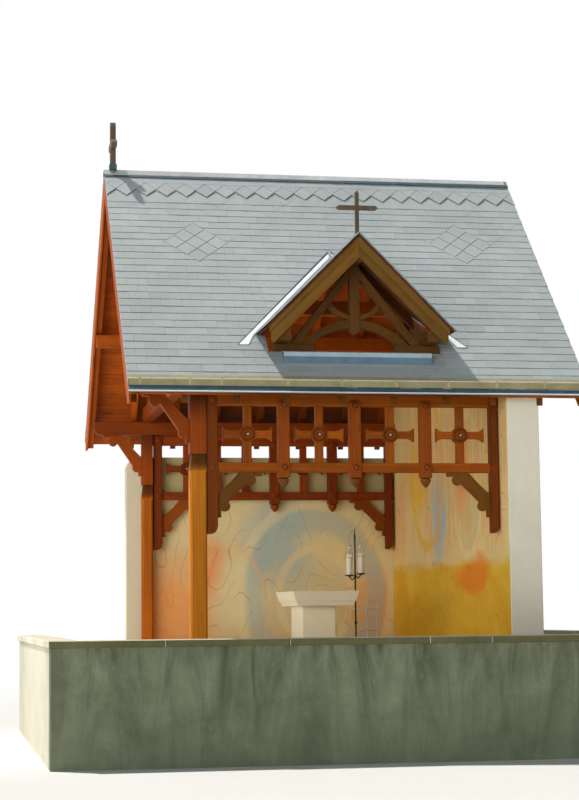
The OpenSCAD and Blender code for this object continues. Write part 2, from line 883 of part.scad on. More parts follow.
// both slopes of the dormer between depths d0 and d1 under its slates' top
module dormer_layer(d0, d1, half = dormer_half) {
    z = dormer_top - half;
    translate([dormer_x, 0])
        polygon([
            [0, dormer_top - d0 * r2], [half - d0 / r2, z - d0 / r2], [half - d1 / r2, z - d1 / r2],
            [0, dormer_top - d1 * r2], [d1 / r2 - half, z - d1 / r2], [d0 / r2 - half, z - d0 / r2]
        ]);
}

// the same on both sides of the dormer's middle
module both_sides() {
    translate([dormer_x, 0, 0]) for (m = [0, 1]) mirror([m, 0, 0]) children();
}

module dormer_slates() {
    color(slate) difference() {
        along_y(dormer_y0 - 12, ridge_y) dormer_layer(0, slate_t);
        below_main_roof();
    }
}

module dormer_boards() {
    color(timber) difference() {
        along_y(dormer_y0, ridge_y) dormer_layer(slate_t, cover, dormer_half - 8);
        below_main_roof();
    }
}

module dormer_barge_boards() {
    color(aged) difference() {
        along_y(dormer_y0, dormer_y0 + dormer_barge_t) intersection() {
            dormer_layer(cover, cover + dormer_barge_d);
            translate([dormer_x - dormer_end, 0]) square([2 * dormer_end, dormer_top]);
        }
        below_main_roof();
    }
}

module dormer_ridge_beam() {
    color(timber) difference() {
        box([dormer_x - 40, dormer_y0 + dormer_barge_t, beam_z0], [dormer_x + 40, ridge_y, dormer_top - under_boards - 40]);
        below_main_roof(-under_boards);
    }
}

// round-ended plates under the feet of the dormer's rafters
module dormer_plates() {
    r = side_plate_r;
    color(timber) difference() {
        both_sides() translate([side_plate_x, dormer_y0 + dormer_barge_t, side_plate_z]) rotate([-90, 0, 0]) linear_extrude(ridge_y) union() {
            circle(r);
            translate([-r, 0]) square([2 * r, side_plate_z - truss_z]);
        }
        below_main_roof();
    }
}

module dormer_rafters() {
    color(timber) difference() {
        for (y = [dormer_y0 + dormer_barge_t, truss_set + 10, truss_set + dormer_rafter_step])
            along_y(y, y + dormer_rafter_w) dormer_layer(cover, cover + dormer_rafter_d, dormer_half - 60);
        below_main_roof();
        box([dormer_x - 40, dormer_y0, beam_z0], [dormer_x + 40, ridge_y, dormer_top]);
        both_sides() box([side_plate_x - side_plate_r, dormer_y0, side_plate_z - side_plate_r], [side_plate_x + side_plate_r, ridge_y, side_plate_z + side_plate_r]);
    }
}

// the beam on the wall plate, with the blocks that the truss stands on
module dormer_sill_beam() {
    color(timber) {
        box([dormer_x - sill_half, sill_y, plate_top], [dormer_x + sill_half, sill_y + sill_w, sill_z]);
        both_sides() box([sill_half - 10 - block_l, truss_set, sill_z - eps], [sill_half - 10, truss_set + truss_t, truss_z]);
    }
}

// king post with its drop, straight principals, an arch and two curved struts
module dormer_truss() {
    k = truss_king / 2;
    w = truss_half - truss_foot_w;
    inner = arch_r;
    outer = arch_r + arch_band;
    a = asin((truss_z - arch_z) / outer);
    b = asin((truss_z - arch_z) / inner);
    z = arch_top + strut_r + 24;
    king_end = truss_z + arch_rise - 36;
    crotch = truss_z + w * (beam_z0 - 160 - truss_z) / (w - k / 2);
    color(aged) along_y(truss_set, truss_set + truss_t) translate([dormer_x, 0]) union() {
        polygon([[-k, king_end], [-20, king_end - truss_drop], [20, king_end - truss_drop], [k, king_end], [k, beam_z0], [-k, beam_z0]]);
        polygon(concat(arc([0, arch_z], outer, a, 180 - a, 20), arc([0, arch_z], inner, 180 - b, b, 20)));
        polygon(concat(arc([0, z], strut_r + strut_band / 2, 210, 330, 12), arc([0, z], strut_r - strut_band / 2, 330, 210, 12)));
        polygon([[-truss_half, truss_z], [-w, truss_z], [0, crotch], [w, truss_z], [truss_half, truss_z], [truss_half, truss_z + 12], [k, beam_z0], [-k, beam_z0], [-truss_half, truss_z + 12]]);
    }
}

module dormer_flashings() {
    x = dormer_half + 10;
    run = valley_run;
    valley = [[valley_in, dormer_h - valley_in], [x, dormer_h - x], [x + 0.6 * run, dormer_h - x - run], [x + run + valley_w, dormer_h - x - run], [valley_in, dormer_h + valley_w - valley_in]];
    color(zinc) {
        // the sill
        along_x(dormer_x - sheet_half, dormer_x + sheet_half)
            polygon([[sill_y - sill_out, sill_z - sill_out], [sill_y - sill_out, sill_z + 2], [sill_y, sill_z + 2], [sill_y, sill_z]]);
        // the valleys, drawn in the slope's plane
        translate([0, eave_y, eave_z]) rotate([45, 0, 0]) linear_extrude(valley_t) translate([dormer_x, 0]) for (m = [0, 1]) mirror([m, 0])
            polygon([for (p = valley) [p[0], p[1] * r2]]);
    }
}

// a cross with pointed ends: h high, arms of half length a at z, w and t wide
module cross_drawing(h, z, a, w, t) {
    p = 0.6 * t;
    right = [[w / 2, 0], [w / 2, z - t / 2], [a - p, z - t / 2], [a, z], [a - p, z + t / 2], [w / 2, z + t / 2], [w / 2, h - p]];
    polygon(concat(right, [[0, h]], [for (i = [len(right) - 1:-1:0]) [-right[i][0], right[i][1]]]));
}

// it stands astride the dormer's ridge
module dormer_cross() {
    y = dormer_y0 + dormer_cross_set;
    color(aged) difference() {
        along_y(y, y + dormer_cross_t) translate([dormer_x, dormer_top - sink])
            cross_drawing(dormer_cross_h + sink, dormer_cross_z + sink, dormer_cross_arm, dormer_cross_w, dormer_cross_band);
        along_y(y - eps, y + dormer_cross_t + eps) translate([dormer_x, dormer_top])
            polygon([[-2 * sink, -2 * sink], [0, 0], [2 * sink, -2 * sink]]);
    }
}

// it stands astride the ridge cap
module ridge_cross() {
    x = roof_x0 + ridge_cross_x;
    color(aged) difference() {
        along_x(x, x + ridge_cross_t) translate([ridge_y, ridge_z - sink])
            cross_drawing(ridge_cross_h + sink, ridge_cross_z + sink, ridge_cross_arm, ridge_cross_w, ridge_cross_band);
        along_x(x - eps, x + ridge_cross_t + eps)
            polygon(concat([[ridge_y - cap_w, ridge_z - 2 * cap_w]], cap_edge(), mirrored(concat([[ridge_y - cap_w, ridge_z - 2 * cap_w]], cap_edge()))));
    }
}

// -------------------------------------------------------------- furniture

// half of the slab's section: two steps that widen upwards
function altar_step(half) = [[half - 70, altar_h - altar_t], [half - 52, altar_h - altar_band - 8], [half - 40, altar_h - altar_band], [half, altar_h]];

module altar_section(half) {
    s = altar_step(half);
    polygon(concat(s, [for (i = [3:-1:0]) [-s[i][0], s[i][1]]]));
}

module altar_top() {
    color(stone) translate([altar_x, altar_y, 0]) intersection() {
        along_y(-altar_l / 2, altar_l / 2) altar_section(altar_w / 2);
        along_x(-altar_w / 2, altar_w / 2) altar_section(altar_l / 2);
    }
}

module altar_base() {
    x = altar_x - base_shift;
    color(stone) box([x - base_w / 2, altar_y - base_l / 2, 0], [x + base_w / 2, altar_y + base_l / 2, altar_h - altar_t]);
}

// foot of the left candle for s = -1, of the right one for s = 1
function candle_foot(s) = [candle_x + s * candle_arm, candle_y, candle_z + (s + 1) / 2 * candle_step + cup_h];

module candle_stand() {
    arm = [14, 16];
    color(iron) translate([candle_x, candle_y, 0]) union() {
        cylinder(h = 25, r = candle_foot_r);
        cylinder(h = candle_pole, r = pole_r);
        for (s = [-1, 1]) let (z = candle_z + (s + 1) / 2 * candle_step) {
            box([min(0, s * candle_arm), -arm[1] / 2, z], [max(0, s * candle_arm), arm[1] / 2, z + arm[0]]);
            translate([s * candle_arm, 0, z]) cylinder(h = cup_h, r = cup_r);
        }
    }
}

module candles() {
    color(plaster) for (s = [-1, 1]) translate(candle_foot(s)) cylinder(h = candle_h, r = candle_r);
}

module flower_stand() {
    color(plaster) translate([stand_x, stand_y, 0]) rotate(-stand_turn) translate([-stand_w, 0, 0]) union() {
        for (x = [0, stand_w - bar], y = [0, stand_w - bar]) translate([x, y, 0]) cube([bar, bar, stand_h]);
        for (z = [stand_low, stand_mid, stand_h - bar], s = [0, stand_w - bar]) {
            translate([0, s, z]) cube([stand_w, bar, bar]);
            translate([s, 0, z]) cube([bar, stand_w, bar]);
        }
    }
}

// --------------------------------------------------------------- assembly

placed() terrace_front_wall();
placed() terrace_side_walls();
placed() terrace_rear_wall();
placed() terrace_coping();
placed() floor_slab();
placed() back_wall();
placed() right_wall();
placed() posts();
placed() wall_plates();
placed() tie_beam();
placed() overhang_braces();
placed() gable_truss();
placed() purlins();
placed() rafters_front();
placed() rafters_rear();
placed() boards_front();
placed() boards_rear();
placed() slates_front();
placed() slates_rear();
placed() ridge_cap();
placed() barge_boards();
placed() gutters();
placed() front_frieze_rails();
placed() front_frieze_stiles();
placed() front_frieze_crosses();
placed() front_frieze_brackets();
placed() rear_frieze_rails();
placed() rear_frieze_stiles();
placed() rear_frieze_crosses();
placed() rear_frieze_brackets();
placed() dormer_slates();
placed() dormer_boards();
placed() dormer_barge_boards();
placed() dormer_ridge_beam();
placed() dormer_plates();
placed() dormer_rafters();
placed() dormer_sill_beam();
placed() dormer_truss();
placed() dormer_flashings();
placed() dormer_cross();
placed() ridge_cross();
placed() altar_top();
placed() altar_base();
placed() candle_stand();
placed() candles();
placed() flower_stand();
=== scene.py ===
# Small open chapel: slated roof with an open dormer, timber frame with carved friezes.
# Lengths are metres. Pieces are drawn in the chapel's own axes (x from the front post's
# left face, y from the frame's front, z from the floor) and moved once by originShift.
import math
import random

import bpy
from mathutils import Matrix, Vector, noise


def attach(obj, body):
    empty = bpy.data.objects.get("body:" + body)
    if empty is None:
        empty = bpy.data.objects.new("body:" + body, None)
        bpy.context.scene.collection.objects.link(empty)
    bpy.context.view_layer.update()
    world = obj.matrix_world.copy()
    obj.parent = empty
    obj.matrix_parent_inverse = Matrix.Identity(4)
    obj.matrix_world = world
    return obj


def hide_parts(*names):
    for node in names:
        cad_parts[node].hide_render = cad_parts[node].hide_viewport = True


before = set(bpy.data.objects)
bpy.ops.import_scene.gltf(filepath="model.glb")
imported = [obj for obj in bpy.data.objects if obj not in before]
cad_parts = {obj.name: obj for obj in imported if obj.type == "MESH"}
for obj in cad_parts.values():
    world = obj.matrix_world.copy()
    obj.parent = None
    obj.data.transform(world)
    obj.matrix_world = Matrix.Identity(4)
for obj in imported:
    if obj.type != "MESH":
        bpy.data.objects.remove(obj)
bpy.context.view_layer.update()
originShift = Vector((-2.020, -2.500, 1.020))
root2 = math.sqrt(2)
rng = random.Random(7)

scene = bpy.context.scene
scene.view_settings.view_transform = "Standard"

# shared measures of the building
roof = {"x0": -0.784, "x1": 4.824, "eaveY": -0.542, "eaveZ": 3.238, "ridgeY": 2.823, "ridgeZ": 6.603,
        "slate": 0.030, "cover": 0.054, "underBoards": 0.07637, "underRafters": 0.31678}
wallRight = {"x0": 3.810, "x1": 4.210, "y0": -0.340, "y1": 5.876}
plate = {"z0": 3.2852, "z1": 3.4752, "width": 0.180, "rearY": 5.466}
dormer = {"x": 2.030, "top": 5.240, "half": 1.200, "y0": -0.280, "roomHalf": 1.070, "roomY": 0.018}
frameDepth = 5.646


def topAt(y):
    return roof["ridgeZ"] - abs(y - roof["ridgeY"])


# mesh helpers: a piece collects solids before it becomes one object

def newPiece():
    return {"verts": [], "faces": [], "grain": [], "tone": [], "smooth": []}


def addFaces(piece, points, faces, grain=None, tone=None, smooth=False):
    start = len(piece["verts"])
    tone = rng.random() if tone is None else tone
    piece["verts"] += [Vector(p) for p in points]
    piece["faces"] += [[start + i for i in f] for f in faces]
    piece["smooth"] += [smooth] * len(faces)
    piece["grain"] += grain or [Vector(p) for p in points]
    piece["tone"] += tone if isinstance(tone, list) else [tone] * len(points)


def signedArea(loop):
    # above zero when the points run anticlockwise
    return sum(loop[i - 1][0] * loop[i][1] - loop[i][0] * loop[i - 1][1] for i in range(len(loop))) / 2


def grainJump(axes=3):
    # a random start in the grain, so that no two solids look alike
    return Vector([rng.uniform(0, 40) for i in range(axes)] + [0] * (3 - axes))


def skinFaces(rows, n):
    # quads between rows of n points, and a face over each end
    faces = [[k * n + i, k * n + (i + 1) % n, (k + 1) * n + (i + 1) % n, (k + 1) * n + i]
             for k in range(rows - 1) for i in range(n)]
    return faces + [list(range(n))[::-1], [(rows - 1) * n + i for i in range(n)]]


def perPoint(tone, n):
    # one tone for a whole solid, or one for each row of n points
    return [k for k in tone for i in range(n)] if isinstance(tone, list) else tone


def cutCorners(outline, size, limit=25):
    # replaces each sharp corner of a closed outline by a small flat
    out = []
    count = len(outline)
    for i in range(count):
        p, a, b = Vector(outline[i]), Vector(outline[i - 1]), Vector(outline[(i + 1) % count])
        u, v = a - p, b - p
        if u.length < 1e-6 or v.length < 1e-6:
            continue
        turn = math.degrees(math.pi - u.angle(v))
        if turn < limit or size <= 0:
            out.append(p)
        else:
            cut = min(size, u.length * 0.4, v.length * 0.4)
            out += [p + u.normalized() * cut, p + v.normalized() * cut]
    return out


def insetLoop(loop, size):
    # moves each point of a closed loop inwards by size
    side = 1 if signedArea(loop) > 0 else -1
    out = []
    for i, p in enumerate(loop):
        e0, e1 = (p - loop[i - 1]), (loop[(i + 1) % len(loop)] - p)
        n0 = Vector((-e0.y, e0.x)).normalized() * side
        n1 = Vector((-e1.y, e1.x)).normalized() * side
        n = n0 + n1
        out.append(p + n.normalized() * size / max(0.5, n.length / 2) if n.length > 1e-6 else p.copy())
    return out


def prism(piece, outline, w0, w1, axes, bevel=0.006, grainAngle=None, step=0.35, wobble=0.0012, tone=None):
    # runs an outline (u, v) from w0 to w1 with softened edges; grainAngle is the grain's direction in
    # the outline's plane in degrees, or None when it runs along w
    axisU, axisV, axisW = [Vector(a) for a in axes]
    loop = cutCorners(outline, bevel)
    inner = insetLoop(loop, bevel)
    count = max(1, round((w1 - w0) / step))
    stations = [(w0, inner), (w0 + bevel, loop)]
    stations += [(w0 + (w1 - w0) * i / count, loop) for i in range(1, count)]
    stations += [(w1 - bevel, loop), (w1, inner)]
    if w1 - w0 < 2.5 * bevel:
        stations = [(w0, loop), (w1, loop)]
    jump = grainJump()
    points, grain = [], []
    for w, ring in stations:
        bend = wobble * noise.noise_vector(Vector((w * 1.7, jump.x, jump.y)))
        for q in ring:
            points.append(axisU * (q.x + bend.x) + axisV * (q.y + bend.y) + axisW * w)
            if grainAngle is None:
                grain.append(Vector((w, q.x, q.y)) + jump)
            else:
                c, s = math.cos(math.radians(grainAngle)), math.sin(math.radians(grainAngle))
                grain.append(Vector((q.x * c + q.y * s, -q.x * s + q.y * c, w)) + jump)
    faces = skinFaces(len(stations), len(loop))
    if signedArea(loop) * axisU.cross(axisV).dot(axisW) < 0:
        faces = [f[::-1] for f in faces]
    addFaces(piece, points, faces, grain, tone)


alongX = ((0, 1, 0), (0, 0, 1), (1, 0, 0))   # outline in y, z
alongY = ((1, 0, 0), (0, 0, 1), (0, 1, 0))   # outline in x, z
alongZ = ((1, 0, 0), (0, 1, 0), (0, 0, 1))   # outline in x, y
alongAxis = {"x": alongX, "y": alongY, "z": alongZ}


def rect(u0, v0, u1, v1):
    return [(u0, v0), (u1, v0), (u1, v1), (u0, v1)]


def beam(piece, lo, hi, axis="x", **rest):
    # a squared timber between two corners, its grain along the named axis
    w = "xyz".index(axis)
    u, v = [i for i in range(3) if i != w]
    prism(piece, rect(lo[u], lo[v], hi[u], hi[v]), lo[w], hi[w], alongAxis[axis], **rest)


def lathe(piece, profile, centre, axis="z", sides=32, flip=1, grainAlong=True, tone=None):
    # turns a profile of (radius, height) about an axis; flip -1 turns it the other way
    a, b, c = [Vector(d) for d in alongAxis[axis]]
    jump = grainJump()
    points, grain = [], []
    for r, h in profile:
        for i in range(sides):
            turn = 2 * math.pi * i / sides
            u, v = r * math.cos(turn), r * math.sin(turn)
            points.append(Vector(centre) + a * u + b * v + c * h * flip)
            grain.append((Vector((h, u, v)) if grainAlong else Vector((v, u, h))) + jump)
    faces = skinFaces(len(profile), sides)
    if a.cross(b).dot(c) * flip < 0:
        faces = [f[::-1] for f in faces]
    addFaces(piece, points, faces, grain, perPoint(tone, sides), smooth=True)


def loft(piece, rings, grainOf=None, tone=None, smooth=False):
    # skins equal rings of points one after another
    n = len(rings[0])
    jump = grainJump()
    points = [Vector(p) for ring in rings for p in ring]
    grain = [(grainOf(p) if grainOf else p) + jump for p in points]
    addFaces(piece, points, skinFaces(len(rings), n), grain, perPoint(tone, n), smooth)


def tube(piece, path, radius, sides):
    # a round bar along a list of points
    path = [Vector(p) for p in path]
    turns = [2 * math.pi * k / sides for k in range(sides)]
    rings, side = [], None
    for i, p in enumerate(path):
        ahead = (path[min(i + 1, len(path) - 1)] - path[max(i - 1, 0)]).normalized()
        side = ahead.orthogonal().normalized() if side is None else side
        side = (side - ahead * side.dot(ahead)).normalized()
        up = ahead.cross(side)
        rings.append([p + radius * (math.cos(a) * side + math.sin(a) * up) for a in turns])
    loft(piece, rings, smooth=True)


def curvedBand(piece, cx, cz, inner, outer, spanInner, spanOuter, y0, y1):
    # a curved timber in the x, z plane, its grain bent along the curve
    bevel, count = 0.004, 28
    rings = []
    for i in range(count + 1):
        k = i / count
        ends = []
        for r, span in ((inner, spanInner), (outer, spanOuter)):
            a = math.radians(span[0] + (span[1] - span[0]) * k)
            ends.append(Vector((cx + r * math.cos(a), 0, cz + r * math.sin(a))))
        low, high = ends
        cut = (high - low).normalized() * bevel
        corners = ((low + cut, y0), (high - cut, y0), (high, y0 + bevel), (high, y1 - bevel),
                   (high - cut, y1), (low + cut, y1), (low, y1 - bevel), (low, y0 + bevel))
        rings.append([p + Vector((0, y, 0)) for p, y in corners])
    mean = (inner + outer) / 2

    def bentGrain(p):
        x, z = p.x - cx, p.z - cz
        return Vector((math.atan2(x, abs(z)) * mean, math.hypot(x, z), p.y))

    loft(piece, rings, grainOf=bentGrain)


def arc(cx, cy, r, a0, a1, count=12):
    turns = [math.radians(a0 + (a1 - a0) * i / count) for i in range(count + 1)]
    return [(cx + r * math.cos(a), cy + r * math.sin(a)) for a in turns]


def placed(outline, u, v=0, side=1):
    # an outline moved by (u, v), turned over to the left where side is -1
    return [(u + side * p[0], v + p[1]) for p in outline]


def acrossRidge(outline):
    # an outline in y, z on the other slope
    return placed(outline, 2 * roof["ridgeY"], 0, -1)[::-1]


def makePiece(name, piece, materials, nodes=(), faceMaterial=None):
    # turns the collected solids into one object that rides on the building
    mesh = bpy.data.meshes.new(name)
    mesh.from_pydata([v + originShift for v in piece["verts"]], [], piece["faces"])
    grain = mesh.attributes.new("grain", "FLOAT_VECTOR", "POINT")
    grain.data.foreach_set("vector", [c for g in piece["grain"] for c in g])
    tone = mesh.attributes.new("tone", "FLOAT", "POINT")
    tone.data.foreach_set("value", piece["tone"])
    mesh.polygons.foreach_set("use_smooth", piece["smooth"])
    for m in materials:
        mesh.materials.append(m)
    if faceMaterial:
        for poly in mesh.polygons:
            poly.material_index = int(faceMaterial(poly))
    mesh.validate()
    mesh.update()
    obj = bpy.data.objects.new(name, mesh)
    scene.collection.objects.link(obj)
    if any(piece["smooth"]):
        mesh.set_sharp_from_angle(angle=math.radians(38))
    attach(obj, "root")
    if nodes:
        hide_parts(*nodes)
    return obj


# node helpers

def node(tree, kind, sockets=None, **props):
    n = tree.nodes.new(kind)
    for key, value in props.items():
        setattr(n, key, value)
    for key, value in (sockets or {}).items():
        if hasattr(value, "links"):
            tree.links.new(value, n.inputs[key])
        else:
            n.inputs[key].default_value = value
    return n


def number(tree, op, a, b=0.0, clamp=False):
    return node(tree, "ShaderNodeMath", {0: a, 1: b}, operation=op, use_clamp=clamp).outputs[0]


def product(tree, a, b, clamp=False):
    return number(tree, "MULTIPLY", a, b, clamp)


def mixColour(tree, factor, a, b):
    a, b = [(*c, 1) if isinstance(c, tuple) else c for c in (a, b)]
    return node(tree, "ShaderNodeMix", {0: factor, 6: a, 7: b}, data_type="RGBA").outputs[2]


def spread(tree, value, low, high, outLow=0.0, outHigh=1.0):
    sockets = {"Value": value, "From Min": low, "From Max": high, "To Min": outLow, "To Max": outHigh}
    return node(tree, "ShaderNodeMapRange", sockets).outputs[0]


def noiseAt(tree, vector, scale, detail=4.0, rough=0.55, distortion=0.0):
    sockets = {"Vector": vector, "Scale": scale, "Detail": detail, "Roughness": rough,
               "Distortion": distortion}
    return node(tree, "ShaderNodeTexNoise", sockets).outputs["Fac"]


def vectorMath(tree, op, sockets, output=0):
    return node(tree, "ShaderNodeVectorMath", sockets, operation=op).outputs[output]


def stretch(tree, vector, scale):
    return vectorMath(tree, "MULTIPLY", {0: vector, 1: scale})


def scaled(tree, colour, level):
    return vectorMath(tree, "SCALE", {0: colour, 3: level})


def axisOf(tree, vector, axis):
    return node(tree, "ShaderNodeSeparateXYZ", {0: vector}).outputs[axis]


def newGroup(name, inputs, outputs):
    group = bpy.data.node_groups.new(name, "ShaderNodeTree")
    kinds = {"v": "NodeSocketVector", "f": "NodeSocketFloat", "c": "NodeSocketColor"}
    for label, kind, value in inputs:
        s = group.interface.new_socket(name=label, in_out="INPUT", socket_type=kinds[kind])
        if value is not None:
            s.default_value = value
    for label, kind in outputs:
        group.interface.new_socket(name=label, in_out="OUTPUT", socket_type=kinds[kind])
    return group, group.nodes.new("NodeGroupInput").outputs, group.nodes.new("NodeGroupOutput").inputs


def useGroup(tree, group, sockets):
    return node(tree, "ShaderNodeGroup", sockets, node_tree=group).outputs


def newMaterial(name, **fixed):
    mat = bpy.data.materials.new(name)
    mat.use_nodes = True
    tree = mat.node_tree
    shader = tree.nodes["Principled BSDF"]
    for key, value in fixed.items():
        shader.inputs[key].default_value = value
    return mat, tree, shader


def finishMaterial(tree, shader, colour, rough, height=None, distance=0.0):
    # joins colour, roughness and relief to the shader
    links = {"Base Color": colour, "Roughness": rough}
    if height is not None:
        relief = {"Height": height, "Distance": distance, "Strength": 1.0}
        links["Normal"] = node(tree, "ShaderNodeBump", relief).outputs[0]
    for key, value in links.items():
        tree.links.new(value, shader.inputs[key])


def attributeOf(tree, name, output):
    return node(tree, "ShaderNodeAttribute", attribute_name=name).outputs[output]


def toneOf(tree):
    return attributeOf(tree, "tone", "Fac")


def placeOf(tree):
    return node(tree, "ShaderNodeTexCoord").outputs["Object"]


# wood grain from coordinates that run along each timber
woodGrain, gi, go = newGroup("woodGrain",
    [("Grain", "v", None), ("Tone", "f", 0.5), ("Light", "c", (0.6, 0.3, 0.1, 1)),
     ("Dark", "c", (0.3, 0.12, 0.03, 1)), ("Figure", "f", 0.5), ("Knots", "f", 1.0)],
    [("Color", "c"), ("Height", "f"), ("Rough", "f")])
t = woodGrain
streak = noiseAt(t, stretch(t, gi["Grain"], (0.7, 30, 30)), 1.0, 6, 0.62, 0.25)
fine = noiseAt(t, stretch(t, gi["Grain"], (5, 200, 200)), 1.0, 3, 0.6)
drift = noiseAt(t, stretch(t, gi["Grain"], (0.8, 3, 3)), 1.0, 3, 0.5)
wave = {"Vector": stretch(t, gi["Grain"], (0.09, 1, 0.8)), "Scale": 8.0, "Distortion": 2.4, "Detail": 2.0,
        "Detail Scale": 0.8}
rings = node(t, "ShaderNodeTexWave", wave, bands_direction="Y").outputs["Fac"]
cells = {"Vector": stretch(t, gi["Grain"], (1.3, 6.5, 6.5)), "Scale": 1.0}
spots = node(t, "ShaderNodeTexVoronoi", cells).outputs["Distance"]
knot = product(t, spread(t, spots, 0.05, 0.14, 1.0, 0.0), gi["Knots"])
figure = product(t, product(t, rings, gi["Figure"]), 0.5)
dark = number(t, "ADD", product(t, spread(t, streak, 0.34, 0.66), 0.6), figure, True)
shade = mixColour(t, dark, gi["Light"], gi["Dark"])
heart = mixColour(t, 0.6, gi["Dark"], (0.05, 0.015, 0.003))
shade = mixColour(t, product(t, knot, 0.6), shade, heart)
level = number(t, "ADD", product(t, gi["Tone"], 0.40), spread(t, drift, 0.3, 0.7, 0.72, 0.88))
level = number(t, "MAXIMUM", product(t, level, spread(t, fine, 0.25, 0.75, 0.93, 1.07)), 0.04)
t.links.new(scaled(t, shade, level), go["Color"])
t.links.new(number(t, "ADD", product(t, streak, 0.6), product(t, fine, 0.4)), go["Height"])
t.links.new(spread(t, streak, 0.3, 0.7, 0.52, 0.72), go["Rough"])

# rain streaks that run down, and damp patches
rainStains, gi, go = newGroup("rainStains",
    [("Place", "v", None), ("Top", "f", 1.0), ("Reach", "f", 1.0), ("Amount", "f", 1.0)],
    [("Mask", "f"), ("Blotch", "f")])
t = rainStains
streaks = noiseAt(t, stretch(t, gi["Place"], (3.6, 3.6, 0.75)), 1.0, 7, 0.68, 0.9)
blotch = noiseAt(t, stretch(t, gi["Place"], (1.3, 1.3, 1.7)), 1.0, 7, 0.66, 0.6)
below = number(t, "SUBTRACT", gi["Top"], axisOf(t, gi["Place"], "Z"))
fall = number(t, "DIVIDE", below, gi["Reach"], True)
mask = product(t, spread(t, streaks, 0.40, 0.66), spread(t, fall, 0, 1, 1.0, 0.35))
t.links.new(product(t, mask, gi["Amount"], True), go["Mask"])
t.links.new(spread(t, blotch, 0.34, 0.66), go["Blotch"])

# speckle and pores of stone, plaster and render
grit, gi, go = newGroup("grit", [("Place", "v", None), ("Size", "f", 60.0)],
                        [("Speckle", "f"), ("Height", "f")])
t = grit
coarse = noiseAt(t, gi["Place"], gi["Size"], 6, 0.7)
pits = node(t, "ShaderNodeTexVoronoi", {"Vector": gi["Place"], "Scale": gi["Size"]}).outputs["Distance"]
t.links.new(spread(t, coarse, 0.3, 0.7), go["Speckle"])
t.links.new(number(t, "ADD", product(t, coarse, 0.7), product(t, pits, 0.3)), go["Height"])


def woodMaterial(name, light, dark, figure=0.35, knots=1.0, greyed=0.0, worn=None, insideShade=1.0):
    # stained timber: greyed mixes in a worn colour in patches, and a factor below 1 darkens what lies inside
    # the roof as a painted shade
    mat, tree, shader = newMaterial(name, **{"Specular IOR Level": 0.14})
    grain = useGroup(tree, woodGrain, {"Grain": attributeOf(tree, "grain", "Vector"), "Tone": toneOf(tree),
                                       "Light": (*light, 1), "Dark": (*dark, 1), "Figure": figure,
                                       "Knots": knots})
    place = placeOf(tree)
    stain = useGroup(tree, rainStains, {"Place": place, "Top": 5.2, "Reach": 5.0, "Amount": 1.0})
    wet = (dark[0] * 0.5, dark[1] * 0.45, dark[2] * 0.45)
    colour = mixColour(tree, product(tree, stain["Mask"], 0.28), grain["Color"], wet)
    if greyed:
        colour = mixColour(tree, product(tree, stain["Blotch"], greyed), colour, worn)
    if insideShade < 1:
        # painted shade: darker inside the roof, lighter towards the open gables and high up in the dormer
        across = number(tree, "ABSOLUTE", axisOf(tree, place, "X"))
        aside = spread(tree, across, 1.25, 2.05, insideShade, 1.0)
        above = spread(tree, axisOf(tree, place, "Z"), 4.95, 5.30, insideShade, 1.0)
        colour = scaled(tree, colour, number(tree, "MAXIMUM", aside, above))
    finishMaterial(tree, shader, colour, grain["Rough"], grain["Height"], 0.0015)
    return mat


oakFrame = woodMaterial("stainedOakFrame", (0.58, 0.205, 0.010), (0.35, 0.100, 0.004))
oakFrieze = woodMaterial("stainedOakFrieze", (0.27, 0.060, 0.0025), (0.145, 0.027, 0.0015))
pineBoards = woodMaterial("roofBoardPine", (0.46, 0.095, 0.005), (0.25, 0.045, 0.003), 0.3, 1.3, insideShade=0.34)
warmOak = woodMaterial("stainedOakWarm", (0.50, 0.130, 0.005), (0.30, 0.064, 0.0025))
redOak = woodMaterial("stainedOakRed", (0.30, 0.058, 0.002), (0.175, 0.028, 0.001))
carvedOak = woodMaterial("stainedOakCarved", (0.36, 0.085, 0.003), (0.19, 0.040, 0.0015))
shadeOak = woodMaterial("stainedOakShade", (0.165, 0.062, 0.006), (0.085, 0.028, 0.003))
rearOak = woodMaterial("stainedOakRear", (0.27, 0.046, 0.0015), (0.14, 0.020, 0.001))
darkBoards = woodMaterial("darkDormerBoards", (0.115, 0.030, 0.004), (0.060, 0.015, 0.002), 0.3, 1.3)
agedOak = woodMaterial("weatheredOak", (0.110, 0.041, 0.0045), (0.044, 0.016, 0.002), greyed=0.5,
                       worn=(0.125, 0.060, 0.009))
bargeOak = woodMaterial("weatheredBargeOak", (0.210, 0.092, 0.011), (0.085, 0.034, 0.005), 0.40, 1.2,
                        greyed=0.5, worn=(0.165, 0.098, 0.022))
crossOak = woodMaterial("weatheredCrossOak", (0.125, 0.082, 0.052), (0.058, 0.037, 0.024), knots=0.8,
                        greyed=0.4, worn=(0.20, 0.165, 0.125))


def mineralMaterial(name, colours, size, bump, rough=(0.75, 0.95), stain=None, stainAmount=0.0, top=1.4,
                    reach=1.4, tone=0.10):
    # plaster, render and stone: two base colours in soft patches, grit, and rain stains
    mat, tree, shader = newMaterial(name, **{"Specular IOR Level": 0.3})
    place = placeOf(tree)
    speck = useGroup(tree, grit, {"Place": place, "Size": size})
    marks = useGroup(tree, rainStains, {"Place": place, "Top": top, "Reach": reach, "Amount": 1.0})
    colour = mixColour(tree, marks["Blotch"], *colours)
    pores = tuple(c * 0.72 for c in colours[1])
    colour = mixColour(tree, product(tree, speck["Speckle"], 0.22), colour, pores)
    if stain:
        colour = mixColour(tree, product(tree, marks["Mask"], stainAmount), colour, stain)
    colour = scaled(tree, colour, spread(tree, toneOf(tree), 0, 1, 1 - tone, 1 + tone))
    worn = spread(tree, speck["Speckle"], 0, 1, *rough)
    finishMaterial(tree, shader, colour, worn, speck["Height"], bump)
    return mat


